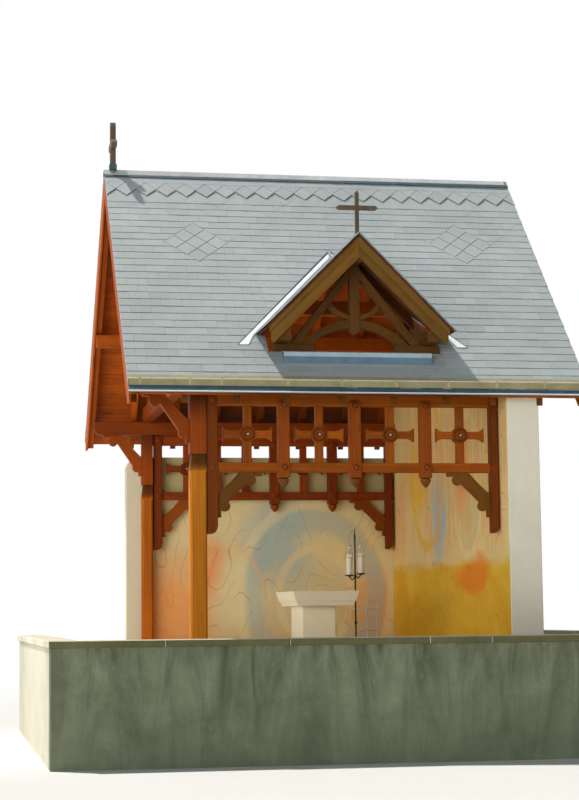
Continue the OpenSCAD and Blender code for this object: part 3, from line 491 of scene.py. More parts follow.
plasterCream = mineralMaterial("creamPlaster", ((0.82, 0.76, 0.60), (0.76, 0.69, 0.53)), 45, 0.003,
                               stain=(0.50, 0.43, 0.30), stainAmount=0.18, top=4.4, reach=3.4, tone=0.0)
plasterWhite = mineralMaterial("whitePlaster", ((0.80, 0.77, 0.64), (0.74, 0.70, 0.56)), 45, 0.003,
                               stain=(0.52, 0.47, 0.37), stainAmount=0.14, top=4.4, reach=3.4, tone=0.0)
# the terrace's front and rear walls are a dark stained render, its darkness partly a painted shade, and its
# side walls a pale render, a painted sunlight
renderStainedShaded = mineralMaterial("stainedShadedRender", ((0.240, 0.270, 0.180), (0.155, 0.180, 0.112)), 38, 0.007,
                             stain=(0.055, 0.064, 0.036), stainAmount=0.85, top=1.32, reach=1.3, tone=0.0)
renderPaintedSunlit = mineralMaterial("paintedSunlitRender", ((0.60, 0.575, 0.47), (0.50, 0.475, 0.38)), 38, 0.005,
                             stain=(0.34, 0.32, 0.22), stainAmount=0.45, top=1.32, reach=1.0, tone=0.0)
# the coping's front is a dark stone, its darkness partly a painted shade, and its top and left faces a pale
# stone, a painted sunlight
copingShadedStone = mineralMaterial("copingShadedStone", ((0.170, 0.158, 0.072), (0.100, 0.098, 0.040)), 55, 0.004,
                              stain=(0.09, 0.09, 0.04), stainAmount=0.4, top=1.42, reach=0.2)
copingSunlitStone = mineralMaterial("copingSunlitFacesStone", ((0.62, 0.59, 0.48), (0.48, 0.455, 0.35)), 55, 0.004)
altarStone = mineralMaterial("altarLimestone", ((0.90, 0.84, 0.64), (0.85, 0.77, 0.56)), 80, 0.0015,
                             rough=(0.55, 0.75), tone=0.03)
pavingStone = mineralMaterial("floorStone", ((0.72, 0.66, 0.52), (0.60, 0.55, 0.43)), 60, 0.003, tone=0.12)
print("shared materials made")

slateBlue, tree, shader = newMaterial("roofSlate", **{"Specular IOR Level": 0.25})
place = placeOf(tree)
grainAt = attributeOf(tree, "grain", "Vector")
cloud = noiseAt(tree, stretch(tree, grainAt, (5, 9, 9)), 1.0, 5, 0.6)
split = noiseAt(tree, stretch(tree, grainAt, (40, 9, 40)), 1.0, 4, 0.65)
wash = noiseAt(tree, stretch(tree, place, (0.55, 0.55, 0.9)), 1.0, 4, 0.6)
colour = mixColour(tree, toneOf(tree), (0.290, 0.328, 0.338), (0.350, 0.390, 0.398))
colour = mixColour(tree, spread(tree, cloud, 0.3, 0.7, 0.0, 0.30), colour, (0.37, 0.405, 0.40))
colour = mixColour(tree, spread(tree, split, 0.35, 0.75, 0.0, 0.16), colour, (0.21, 0.245, 0.26))
colour = scaled(tree, colour, spread(tree, wash, 0.25, 0.75, 0.90, 1.12))
finishMaterial(tree, shader, colour, spread(tree, split, 0.3, 0.7, 0.42, 0.62), split, 0.0018)


def metalMaterial(name, bright, dull, rough, streakAmount=0.5, metal=0.55):
    # sheet zinc that has dulled in patches
    mat, tree, shader = newMaterial(name, Metallic=metal)
    place = placeOf(tree)
    patch = noiseAt(tree, place, 5.0, 6, 0.65, 0.5)
    marks = useGroup(tree, rainStains, {"Place": place, "Top": 8.0, "Reach": 8.0, "Amount": streakAmount})
    colour = mixColour(tree, spread(tree, patch, 0.32, 0.68), bright, dull)
    colour = mixColour(tree, product(tree, marks["Mask"], 0.35), colour, (0.20, 0.20, 0.19))
    colour = scaled(tree, colour, number(tree, "ADD", product(tree, toneOf(tree), 0.24), 0.88))
    gloss = spread(tree, patch, 0.3, 0.7, rough - 0.08, rough + 0.10)
    finishMaterial(tree, shader, colour, gloss, patch, 0.0010)
    return mat


# dark lead; some of its strips, under the ridge cap and in front of the gutters, are painted shadows
leadAndShadowDark = metalMaterial("darkLeadAndShadow", (0.038, 0.082, 0.108), (0.022, 0.052, 0.072), 0.5, 0.2)
gutterTan = metalMaterial("tanPaintedZinc", (0.34, 0.300, 0.150), (0.245, 0.215, 0.105), 0.5, 0.5, metal=0.15)
# the pale zinc of the gutter's rolled edge is a painted highlight
beadHighlight = metalMaterial("beadHighlightZinc", (0.60, 0.60, 0.50), (0.46, 0.46, 0.38), 0.5, 0.3, metal=0.15)
# the sill's pale front stands for its lit top, a painted highlight, and its blue apron for the sky seen in its
# shaded front, a painted reflection
sillHighlight = metalMaterial("sillHighlightZinc", (0.42, 0.54, 0.59), (0.30, 0.41, 0.46), 0.45, 0.3, metal=0.2)
sillSkyReflection = metalMaterial("sillSkyReflectionZinc", (0.115, 0.205, 0.290), (0.070, 0.135, 0.205), 0.45, 0.3, metal=0.2)
zincSheet = metalMaterial("dullZinc", (0.50, 0.53, 0.51), (0.34, 0.37, 0.36), 0.42)
zincBright = metalMaterial("brightZinc", (0.82, 0.84, 0.84), (0.66, 0.70, 0.72), 0.36, 0.2)


# roof covering

def clipPlane(poly, a, b, c):
    # keeps the part of a polygon where a*x + b*y <= c
    out = []
    for i, p in enumerate(poly):
        q = poly[(i + 1) % len(poly)]
        dp, dq = a * p[0] + b * p[1] - c, a * q[0] + b * q[1] - c
        if dp <= 0:
            out.append(p)
        if (dp < 0 < dq) or (dq < 0 < dp):
            k = dp / (dp - dq)
            out.append((p[0] + (q[0] - p[0]) * k, p[1] + (q[1] - p[1]) * k))
    return out


def cutHole(poly, hole):
    # a convex polygon less a convex hole, given as half planes (a, b, c) that hold inside it
    parts, rest = [], poly
    for a, b, c in hole:
        piece = clipPlane(rest, -a, -b, -c)
        if len(piece) > 2 and abs(signedArea(piece)) > 2e-4:
            parts.append(piece)
        rest = clipPlane(rest, a, b, c)
        if len(rest) < 3:
            break
    return parts


def slatePlate(piece, poly, place, low, top, fall, thick, tone, edge=0.0025):
    # one slate: poly is (along, up the slope), place maps (along, up, off) to the chapel's axes
    if len(poly) < 3 or abs(signedArea(poly)) < 3e-4:
        return
    if signedArea(poly) < 0:
        poly = poly[::-1]
    loop = [Vector(p) for p in poly]
    inner = insetLoop(loop, edge)
    tilt = rng.uniform(-0.0005, 0.0005)
    jump = grainJump(2)

    def off(q, down):
        return top - (q.y - low) * fall - down + tilt * (q.x - loop[0].x) * 4

    rings = [[(q, off(q, down)) for q in points] for points,
             down in ((inner, 0), (loop, 0.0022), (loop, thick))]
    points = [place(q.x, q.y, n) for ring in rings for q, n in ring]
    grain = [Vector((q.x, q.y, n)) + jump for ring in rings for q, n in ring]
    faces = [f[::-1] for f in skinFaces(len(rings), len(loop))]
    a, b = points[1] - points[0], points[2] - points[1]
    up = place(0, 0, 1) - place(0, 0, 0)
    if a.cross(b).dot(up) < 0:
        faces = [f[::-1] for f in faces]
    addFaces(piece, points, faces, grain, tone)


slating = {"gauge": 0.1456, "width": 0.2600, "length": 0.355, "thick": 0.0065, "gap": 0.0014,
           "tail": 0.0285, "firstTail": -0.061,
           "motifs": [(0.303, 1.652, 0.414, 0.312), (3.845, 1.720, 0.421, 0.322)], "bandLow": 2.402,
           "bandHigh": 2.630, "bandPitch": 0.272}


def slateTone(middle, play):
    return min(1, max(0, rng.gauss(middle, play)))


def slateCourses(piece, x0, x1, sTop, place, holes, limits=(), sLow=0.0, phase=0.0, reach=None):
    # staggered courses from the eave up; holes are convex, limits are half planes to stay within; the
    # last course starts under sTop and runs on to reach
    g, w = slating["gauge"], slating["width"]
    fall = slating["thick"] * 2 / slating["length"] * 1.18
    course = -1
    while True:
        low = sLow + phase + course * g
        if low >= sTop - 0.01:
            break
        start = x0 - (w / 2 if course % 2 else 0)
        cells = int((x1 - start) / w) + 1
        for k in range(cells):
            shiftA, shiftB = rng.uniform(-0.001, 0.001), rng.uniform(-0.001, 0.001)
            a = max(x0, start + k * w + slating["gap"] / 2)
            b = min(x1, start + (k + 1) * w - slating["gap"] / 2)
            if b - a < 0.02:
                continue
            tail = max(sLow, low) + rng.uniform(-0.001, 0.001) if course >= 0 else sLow
            high = min(low + slating["length"], reach or sTop)
            if high - tail < 0.02:
                continue
            # a slightly broken tail
            mid = a + (b - a) * rng.uniform(0.3, 0.7)
            poly = [(a, tail + shiftA * 0.4), (mid, tail - rng.uniform(0, 0.0010)),
                    (b, tail + shiftB * 0.4), (b, high), (a, high)]
            if course < 0:
                poly = [(a, tail), (b, tail), (b, high), (a, high)]
            parts = [poly]
            for la, lb, lc in limits:
                parts = [clipPlane(p, la, lb, lc) for p in parts]
            for hole in holes:
                parts = [q for p in parts if len(p) > 2 for q in cutHole(p, hole)]
            tone = slateTone(0.5, 0.22)
            for p in parts:
                lift = rng.choice((0, 0, 0, 0.0015))
                slatePlate(piece, p, place, low, slating["tail"] + lift, fall, slating["thick"], tone)
        course += 1


def slopeHole(cx, cy, halfX, halfY):
    # a lozenge on the slope, in (x, distance up the slope); cy and halfY are along the chapel's y
    s, h = (cy - roof["eaveY"]) * root2, halfY * root2
    return [(sx / halfX, sy / h, 1 + sx * cx / halfX + sy * s / h) for sx in (-1, 1) for sy in (-1, 1)]


def frontPlace(x, s, off):
    # (x, distance up the slope, distance off the boards' side) on the front slope
    along, out = s / root2, (off - roof["slate"]) / root2
    return Vector((x, roof["eaveY"] + along - out, roof["eaveZ"] + along + out))


def rearPlace(x, s, off):
    p = frontPlace(x, s, off)
    return Vector((p.x, 2 * roof["ridgeY"] - p.y, p.z))


def lozenge(x, s, a, b):
    return [(x, s - b), (x + a, s), (x, s + b), (x - a, s)]


def lozengeSlates(piece, cx, cy, halfX, halfY, count, place):
    # a lozenge of small lozenge slates
    s0, h, gap = (cy - roof["eaveY"]) * root2, halfY * root2, 0.004
    for i in range(count):
        for j in range(count):
            u, v = (i - j) / count, (i + j + 1 - count) / count
            x, s = cx + u * halfX, s0 + v * h
            a, b = halfX / count - gap, h / count - gap
            slatePlate(piece, lozenge(x, s, a, b), place, s - b, slating["tail"] + 0.0005, 0.014, 0.007,
                       slateTone(0.45, 0.2))


def slateBand(piece, x0, x1, place):
    # a row of lozenge slates below the ridge, with half ones between them
    low, high = (slating["bandLow"] - roof["eaveY"]) * root2, (slating["bandHigh"] - roof["eaveY"]) * root2
    mid, h, g = (low + high) / 2, (high - low) / 2, 0.004
    count = round((x1 - x0) / slating["bandPitch"])
    p = (x1 - x0) / count
    for k in range(count + 1):
        x = x0 + k * p
        whole = clipPlane(clipPlane(lozenge(x, mid, p / 2 - g, h - g), -1, 0, -x0), 1, 0, x1)
        slatePlate(piece, whole, place, low, slating["tail"] + 0.0075, 0.022, 0.007, slateTone(0.5, 0.2))
        if k < count:
            tri = [(x + g, high), (x + p - g, high), (x + p / 2, mid + g)]
            slatePlate(piece, tri, place, low, slating["tail"] + 0.004, 0.016, 0.007, slateTone(0.5, 0.2))


ridgeS = (roof["ridgeY"] - roof["eaveY"]) * root2
bandS = [(slating[k] - roof["eaveY"]) * root2 for k in ("bandLow", "bandHigh")]
dx = dormer["x"]
roomTop = dormer["top"] - roof["underBoards"] - (roof["ridgeZ"] - roof["ridgeY"])
dormerHole = [(1, 0, dx + dormer["roomHalf"]), (-1, 0, dormer["roomHalf"] - dx),
              (0, -1, -(dormer["roomY"] - roof["eaveY"]) * root2),
              (1, 1 / root2, roomTop - roof["eaveY"] + dx), (-1, 1 / root2, roomTop - roof["eaveY"] - dx)]
motifHoles = [slopeHole(*m) for m in slating["motifs"]]

frontSlates = newPiece()
slateCourses(frontSlates, roof["x0"], roof["x1"], bandS[0] - 0.05, frontPlace, [dormerHole] + motifHoles,
             phase=slating["firstTail"], reach=bandS[1] - 0.02)
slateBand(frontSlates, roof["x0"], roof["x1"], frontPlace)
underlay = newPiece()
for cx, cy, halfX, halfY in slating["motifs"]:
    lozengeSlates(frontSlates, cx, cy, halfX, halfY, 3, frontPlace)
    s0, h = (cy - roof["eaveY"]) * root2, halfY * root2
    slatePlate(underlay, lozenge(cx, s0, halfX, h), frontPlace, 0, 0.006, 0, 0.004, 0.5, edge=0.001)
makePiece("motif_underlay", underlay, [leadAndShadowDark], ())
slateCourses(frontSlates, roof["x0"], roof["x1"], ridgeS - 0.01, frontPlace, [], limits=[(0, -1, -bandS[1])],
             sLow=bandS[1])
makePiece("front_slates", frontSlates, [slateBlue], ["slates_front"])

rearSlates = newPiece()
slateCourses(rearSlates, roof["x0"], roof["x1"], ridgeS - 0.01, rearPlace, [], phase=slating["firstTail"])
makePiece("rear_slates", rearSlates, [slateBlue], ["slates_rear"])


def dormerPlace(side):
    # (y, distance up the dormer's slope, off) on its left (-1) or right (1) slope
    def place(y, s, off):
        up, out = s / root2, (off - roof["slate"]) / root2
        return Vector((dx + side * (dormer["half"] - up + out), y, dormer["top"] - dormer["half"] + up + out))
    return place


dormerSlating = newPiece()
valley = dormer["top"] - dormer["half"] - (roof["ridgeZ"] - roof["ridgeY"])
for side in (-1, 1):
    # kept where the dormer's slope lies above the main one: z > y + ridgeZ - ridgeY
    slateCourses(dormerSlating, dormer["y0"] - 0.012, 1.50, dormer["half"] * root2 - 0.012,
                 dormerPlace(side), [], limits=[(1, -1 / root2, valley)])
makePiece("dormer_slating", dormerSlating, [slateBlue], ["dormer_slates"])
print("slates laid:", len(frontSlates["faces"]), "faces in front")

# ridge cap in lengths that overlap, and a folded rib on top
capping = {"wide": 0.075, "thick": 0.010, "length": 1.40, "drip": 0.030, "lap": 0.05, "lapLift": 0.0016,
           "over": 0.004, "rib": 0.006, "ribFoot": 0.016}
ridgeCap = newPiece()
x, w, th = roof["x0"] - capping["over"], capping["wide"], capping["thick"] * root2
capLeft = [(-w, -w), (-w, th - w), (-capping["ribFoot"], 0.008), (-capping["rib"], th)]
capOutline = [(0, 0)] + capLeft + placed(capLeft, 0, 0, -1)[::-1]
while x < roof["x1"]:
    end = min(x + capping["length"], roof["x1"] + capping["over"])
    for lift, a in ((0.0, x), (capping["lapLift"], end - capping["lap"])):
        prism(ridgeCap, placed(capOutline, roof["ridgeY"], roof["ridgeZ"] + lift), a, end, alongX,
              bevel=0.0015, wobble=0)
    x = end
makePiece("ridge_capping", ridgeCap, [zincSheet], ["ridge_cap"])
# a dark lead strip along each edge of the cap, a painted shadow line under it
capShadowStrips = newPiece()
for place in (frontPlace, rearPlace):
    s = ridgeS - capping["wide"] * root2
    slatePlate(capShadowStrips, rect(roof["x0"], s - capping["drip"] * root2, roof["x1"], s + 0.02), place, 0,
               roof["slate"] + 0.004, 0, 0.005, 0.5, edge=0.001)
makePiece("ridge_cap_shadow_strips", capShadowStrips, [leadAndShadowDark], ())

# gutters: an upright strip on the slates with a rolled edge, clips and end caps
guttering = {"inset": 0.074, "height": 0.086, "bed": 0.130, "sheet": 0.005, "edge": 0.010, "end": 0.006,
             "clip": 0.030, "clips": [-0.660, -0.075, 0.302, 1.092, 1.739, 2.400, 3.040, 3.640, 4.240, 4.700]}
gutters, eaveSheets, eaveShades, beads = newPiece(), newPiece(), newPiece(), newPiece()
gy = roof["eaveY"] + guttering["inset"]
gz, gh, gs, gb = topAt(gy), guttering["height"], guttering["sheet"], guttering["bed"]
for rear in (0, 1):
    def gutterRun(piece, outline, x0, x1, tone, bevel=0):
        outline = placed(outline, gy, gz)
        prism(piece, acrossRidge(outline) if rear else outline, x0, x1, alongX, bevel=bevel, wobble=0,
              step=1.2, tone=tone)

    lift = gs * root2
    sheet = [(0, 0), (0, gh), (gs, gh), (gs, gs + lift), (gb, gb + lift), (gb, gb)]
    gutterRun(gutters, sheet, roof["x0"], roof["x1"], 0.4)
    # the rolled edge in pale zinc: a painted highlight along the gutter's top
    gutterRun(beads, arc(0.004, gh - 0.006, 0.008, 0, 345, 11), roof["x0"], roof["x1"], 0.6)
    for xe in (roof["x0"], roof["x1"] - guttering["end"]):
        gutterRun(gutters, [(0, 0), (0, gh), (gh, gh)], xe, xe + guttering["end"], 1.6)
    for xs in guttering["clips"]:
        gutterRun(gutters, rect(-0.006, 0.004, 0.002, gh + 0.004), xs, xs + guttering["clip"], 1.9, 0.001)
        gutterRun(gutters, rect(0, gh - 0.003, gh - 0.004, gh + 0.001), xs, xs + guttering["clip"], 1.2)
    place = rearPlace if rear else frontPlace
    edge = guttering["edge"]
    slatePlate(eaveSheets, rect(roof["x0"], 0.0, roof["x1"], edge), place, 0,
               roof["slate"] + 0.003, 0, 0.006, 0.9, edge=0.001)
    # a dark strip on the slates in front of the gutter, a painted shadow of it
    slatePlate(eaveShades, rect(roof["x0"], edge + 0.002, roof["x1"], guttering["inset"] * root2), place, 0,
               roof["slate"] + 0.002, 0, 0.005, 0.5, edge=0.001)
makePiece("gutter_runs", gutters, [gutterTan], ["gutters"])
makePiece("gutter_beads", beads, [beadHighlight], ())
makePiece("eave_shadow_strips", eaveShades, [leadAndShadowDark], ())
makePiece("eave_drip_sheets", eaveSheets, [zincBright], ())
print("ridge and gutters made")

# roof boards, laid along the ridge under the slates
boarding = {"width": 0.190, "gap": 0.003, "thick": 0.024}


def layBoards(piece, x0, x1, sTop, place, holes, limits=()):
    s = 0.0
    while s < sTop - 0.02:
        end = min(s + boarding["width"], sTop)
        parts = [rect(x0, s + boarding["gap"] / 2, x1, end - boarding["gap"] / 2)]
        for limit in limits:
            parts = [clipPlane(p, *limit) for p in parts]
        for hole in holes:
            parts = [q for p in parts if len(p) > 2 for q in cutHole(p, hole)]
        tone = rng.random()
        for p in parts:
            if len(p) > 2 and abs(signedArea(p)) > 1e-3:
                slatePlate(piece, p, place, 0, 0, 0, boarding["thick"], tone, edge=0.003)
        s = end


frontBoards = newPiece()
layBoards(frontBoards, roof["x0"] + 0.006, roof["x1"] - 0.006, ridgeS - 0.045, frontPlace, [dormerHole])
makePiece("front_boarding", frontBoards, [pineBoards], ["boards_front"])
rearBoards = newPiece()
layBoards(rearBoards, roof["x0"] + 0.006, roof["x1"] - 0.006, ridgeS - 0.045, rearPlace, [])
makePiece("rear_boarding", rearBoards, [pineBoards], ["boards_rear"])
dormerBoards = newPiece()
for side in (-1, 1):
    layBoards(dormerBoards, dormer["y0"], 1.46, (dormer["half"] - 0.008) * root2 - 0.045, dormerPlace(side),
              [], limits=[(1, -1 / root2, valley - 0.05), (0, -1, -0.012)])
makePiece("dormer_boarding", dormerBoards, [darkBoards], ["dormer_boards"])
print("roof boards laid")


# timber frame

def finishTimber(name, piece, nodes, material):
    makePiece(name, piece, [material], nodes)


def cornersOf(u0, v0, u1, v1, c):
    # a rectangle with its corners cut by c
    return [(u0 + c, v0), (u1 - c, v0), (u1, v0 + c), (u1, v1 - c), (u1 - c, v1), (u0 + c, v1), (u0, v1 - c),
            (u0, v0 + c)]


def post(piece, x, y, w):
    # square, with long chamfers, and a neck cut into the front and left faces above them
    def ring(z, c, sink=0.0):
        corners = cornersOf(sink, sink, w, w, c)
        return [(x + p, y + q, z) for p, q in corners]
    low, high, edge, chamfer = 0.175, 2.325, 0.004, 0.022
    levels = [(0, 0.006), (0.146, edge)]
    levels += [(low + (high - low) * i / 7, chamfer) for i in range(8)] + [(2.350, edge)]
    tones = [0.5] * len(levels)
    neckLow, neckHigh, neckDeep = 2.360, 2.549, 0.024
    # the neck's tones darken it towards its top, and the ring under the plate is darkened too: painted shade
    # in the cut and under the plate
    for k, tone in enumerate((-0.4, -1.1, -1.5, -1.6, -1.6, -1.7)):
        levels.append((neckLow + (neckHigh - neckLow) * k / 5, edge, neckDeep * k / 5))
        tones.append(tone)
    levels += [(2.5505, edge, 0.0235), (2.551, edge), (2.60, edge), (2.9, edge), (plate["z0"], edge)]
    tones += [-1.3, 0.6, 0.9, 0.7, -1.3]
    loft(piece, [ring(*level) for level in levels], grainOf=lambda p: p.zxy, tone=tones)


def isRear(face):
    return face.center.y > originShift.y + 2


def postFace(face):
    # the head above the neck takes a darker red oak, a painted shade; the rear post is warmer
    return 2 if face.center.z > 2.54 + originShift.z else isRear(face)


posts = newPiece()
post(posts, 0, 0, 0.200)
post(posts, 0, frameDepth - 0.160, 0.160)
makePiece("corner_posts", posts, [oakFrame, warmOak, redOak], ["posts"], postFace)

plates = newPiece()
for y, out in ((0, 0.640), (plate["rearY"], 0.700)):
    x0, x1, r = -out, wallRight["x1"] + 0.466, 0.090
    outline = [(x1, plate["z0"]), (x1, plate["z1"]), (x0, plate["z1"])]
    outline += arc(x0 + r, plate["z0"] + r, r, 180, 270, 8)
    prism(plates, outline, y, y + plate["width"], alongY, grainAngle=0, bevel=0.007)
makePiece("eave_plates", plates, [warmOak, redOak], ["wall_plates"], isRear)

tie = newPiece()
tieTop = plate["z1"] + 0.200
tieOutline = [(0.012, plate["z1"]), (0.212, tieTop), (frameDepth - 0.212, tieTop),
              (frameDepth - 0.012, plate["z1"])]
prism(tie, tieOutline, 0.010, 0.160, alongX, grainAngle=0)
finishTimber("cross_tie", tie, ["tie_beam"], redOak)


def cornerBrace(l, h, t, r, lobeX, lobeZ, chordX, chordZ, bow):
    # outline of a curved brace in the corner at the origin, to the right and down
    ax = math.degrees(math.asin((lobeX[1] - t) / r))
    az = math.degrees(math.asin((lobeZ[0] - t) / r))
    out = [(chordX, 0), (l, 0), (l, -t)]
    for lobe, turn in ((lobeX, ax), (lobeZ, az)):
        out += arc(lobe[0], -lobe[1], r, turn, -90 - turn)
    out += [(t, -h), (0, -h), (0, -chordZ)]
    return out + [(chordX * s * (1 + bow * (1 - s)), -chordZ * (1 - s) * (1 + bow * s))
                  for s in (0.2, 0.4, 0.6, 0.8)]


overhang = newPiece()
for y in (0.050, frameDepth - 0.130):
    shape = cornerBrace(0.560, 0.600, 0.045, 0.062, (0.415, 0.105), (0.070, 0.480), 0.305, 0.332, 0.08)
    prism(overhang, placed(shape, 0, plate["z0"], -1), y, y + 0.100, alongY, grainAngle=-45, bevel=0.005)
finishTimber("curved_overhang_braces", overhang, ["overhang_braces"], redOak)

gable = newPiece()
ridgeY, ridgeZ = roof["ridgeY"], roof["ridgeZ"]
trussing = {"x0": 0.035, "x1": 0.135, "purlin": 1.637, "purlinZ": 4.4212, "ridgeZ": 6.2166, "king": 0.070,
            "strut": 0.060, "collar": 0.140, "braceFoot": 0.420, "brace": 0.110, "purlinDeep": 0.180,
            "ridgeDeep": 0.270}
purlinZ, purlinOut, strut = trussing["purlinZ"], trussing["purlin"], trussing["strut"]
gx0, gx1 = trussing["x0"], trussing["x1"]
kingHalf, ridgeLow = trussing["king"], trussing["ridgeZ"]
beam(gable, (gx0, ridgeY - kingHalf, tieTop), (gx1, ridgeY + kingHalf, ridgeLow), "z")
beam(gable, (gx0, ridgeY - purlinOut, purlinZ - trussing["collar"]), (gx1, ridgeY + purlinOut, purlinZ), "y")
for s in (-1, 1):
    yc = ridgeY + s * purlinOut
    beam(gable, (gx0 + 0.001, yc - strut, tieTop), (gx1 - 0.001, yc + strut, purlinZ), "z")
    y0, y1, d = trussing["braceFoot"], ridgeY - 1.696, trussing["brace"] * root2
    brace = [(y0, tieTop), (y0 + d, tieTop), (y1, tieTop + y1 - y0 - d), (y1, tieTop + y1 - y0)]
    if s > 0:
        brace = acrossRidge(brace)[::-1]
    prism(gable, brace, gx0 + 0.003, gx1 - 0.003, alongX, grainAngle=45 * -s, bevel=0.005)
finishTimber("gable_frame", gable, ["gable_truss"], redOak)

bargeIn, bargeRight = roof["x0"] + 0.034, roof["x1"] - 0.034
runs = newPiece()
beam(runs, (bargeIn, ridgeY - 0.040, ridgeLow), (bargeRight, ridgeY + 0.040, ridgeLow + trussing["ridgeDeep"]))
for s in (-1, 1):
    yc = ridgeY + s * purlinOut
    beam(runs, (bargeIn, yc - strut, purlinZ), (bargeRight, yc + strut, purlinZ + trussing["purlinDeep"]))
finishTimber("roof_beams", runs, ["purlins"], pineBoards)


rafters = {"half": 0.040, "tail": -0.342, "head": ridgeY - 0.040,
           "play": [0, -0.006, 0.008, 0.012, 0.066, 0.100, 0.144, 0.107, 0.081, 0]}


def rafterXs():
    # even places, each moved a little as built
    xa, xb = bargeIn + rafters["half"], bargeRight - rafters["half"]
    n = len(rafters["play"]) - 1
    return [xa + (xb - xa) * i / n + rafters["play"][i] for i in range(n + 1)]


def rafterOutline(y0, y1, levelCut=None):
    top, low = roof["underBoards"], roof["underRafters"]
    if levelCut is not None:
        base = ridgeZ - ridgeY
        return [(levelCut - base + low, levelCut), (y1, topAt(y1) - low), (y1, topAt(y1) - top),
                (levelCut - base + top, levelCut)]
    return [(y0, topAt(y0) - low), (y1, topAt(y1) - low), (y1, topAt(y1) - top), (y0, topAt(y0) - top)]


frontRafters, rearRafters = newPiece(), newPiece()
for x in rafterXs():
    off = abs(x - dx)
    xs = (x - rafters["half"], x + rafters["half"])
    whole = rafterOutline(rafters["tail"], rafters["head"])
    lengths = [whole]
    if off < dormer["roomHalf"] + 0.07:
        # broken by the dormer: a tail below it and a length above it
        cut = dormer["top"] - roof["underBoards"] + 0.03 - max(0, off - 0.04)
        lengths = [rafterOutline(rafters["tail"], 0.018), rafterOutline(0, rafters["head"], cut)]
    for outline in lengths:
        prism(frontRafters, outline, *xs, alongX, grainAngle=45, bevel=0.004)
    prism(rearRafters, acrossRidge(whole), *xs, alongX, grainAngle=-45, bevel=0.004)
# the tails out under the eave take shadeOak, a painted shade
makePiece("front_rafters", frontRafters, [pineBoards, shadeOak], ["rafters_front"],
          lambda f: f.center.y < originShift.y - 0.14)
finishTimber("rear_rafters", rearRafters, ["rafters_rear"], pineBoards)

# barge boards, two to a gable, with a level foot
bargeCut = {"deep": 0.200, "drop": 0.138, "thick": 0.028}
barges = newPiece()
for x in (roof["x0"] + 0.006, bargeRight):
    under, in1 = (roof["cover"] + bargeCut["deep"]) * root2, roof["cover"] / root2
    drop, footY = bargeCut["drop"], roof["eaveY"] + in1
    front = [(ridgeY, ridgeZ - roof["underBoards"]), (footY, roof["eaveZ"] - in1),
             (footY, roof["eaveZ"] - drop), (roof["eaveY"] - drop + under, roof["eaveZ"] - drop),
             (ridgeY, ridgeZ - under)]
    for outline, lean in ((front, 45), (acrossRidge(front), -45)):
        prism(barges, outline, x, x + bargeCut["thick"], alongX, grainAngle=lean, bevel=0.004)
finishTimber("gable_barge_boards", barges, ["barge_boards"], pineBoards)
print("main frame set up")


# friezes

frieze = {"low0": 2.3352, "low1": 2.4502, "top0": 3.1352, "top1": 3.2852, "railY": 0.025, "railT": 0.090,
          "stileT": 0.120,
          "left": 0.122, "right": 0.098, "pendant": 0.140, "length": 3.582, "crossStile": 0.098,
          "crossT": 0.076, "bracket": 0.540,
          "bracketHalf": 0.0325, "stileEnd": 1.6002, "stileTaper": 0.110, "railCut": 0.012}
bayWidth = (frieze["length"] - frieze["left"] - frieze["right"] - 3 * frieze["pendant"]) / 4
# turned profiles as (radius, height), with a tone for each ring: painted highlights on the drop's bulge and
# the rosette's rim, painted shade in their hollows
turnedDrop = [(0.001, -0.180), (0.010, -0.178), (0.024, -0.166), (0.038, -0.150), (0.050, -0.132),
              (0.059, -0.114),
              (0.064, -0.100), (0.067, -0.092), (0.067, -0.084), (0.062, -0.079), (0.052, -0.077),
              (0.050, -0.070), (0.055, -0.062)]
dropHighlightShadeTone = [0.9] * 7 + [1.8, 1.5, -0.6, -1.2, -1.2, -0.8]
rosette = [(0.098, 0.0), (0.098, 0.050), (0.094, 0.055), (0.084, 0.055), (0.080, 0.051), (0.076, 0.047),
           (0.070, 0.047), (0.066, 0.052), (0.062, 0.060), (0.056, 0.062), (0.048, 0.060), (0.042, 0.057),
           (0.036, 0.056), (0.028, 0.057), (0.016, 0.058), (0.012, 0.062), (0.006, 0.0635), (0.001, 0.0635)]
discHighlightShadeTone = [-1.0, -0.7, 0.1, -0.4, -1.0, -1.1, -0.9, -0.5, -0.2] + [-0.5] * 5 + [-0.9, -0.6, -0.5, -0.5]
boltHead = [(0.009, 0.060), (0.009, 0.0645), (0.006, 0.067), (0.001, 0.068)]
pegHead = [(1, -0.4), (0.95, -0.75), (0.86, -0.95), (0.72, -0.9), (0.5, -1.15), (0.25, -1.45)]
pegHighlightTone = [0.3, 0.9, 2.4, 1.2, -0.9, -0.4, 1.0, 2.6]


def peg(piece, x, y, z, r, height=0.014):
    # a domed boss, with painted highlights on the rim and at the middle
    profile = [(r * a, height * b) for a, b in pegHead]
    lathe(piece, [(r, 0.02)] + profile + [(0.001, -height * 1.5)], (x, y, z), "y", 28, tone=pegHighlightTone)


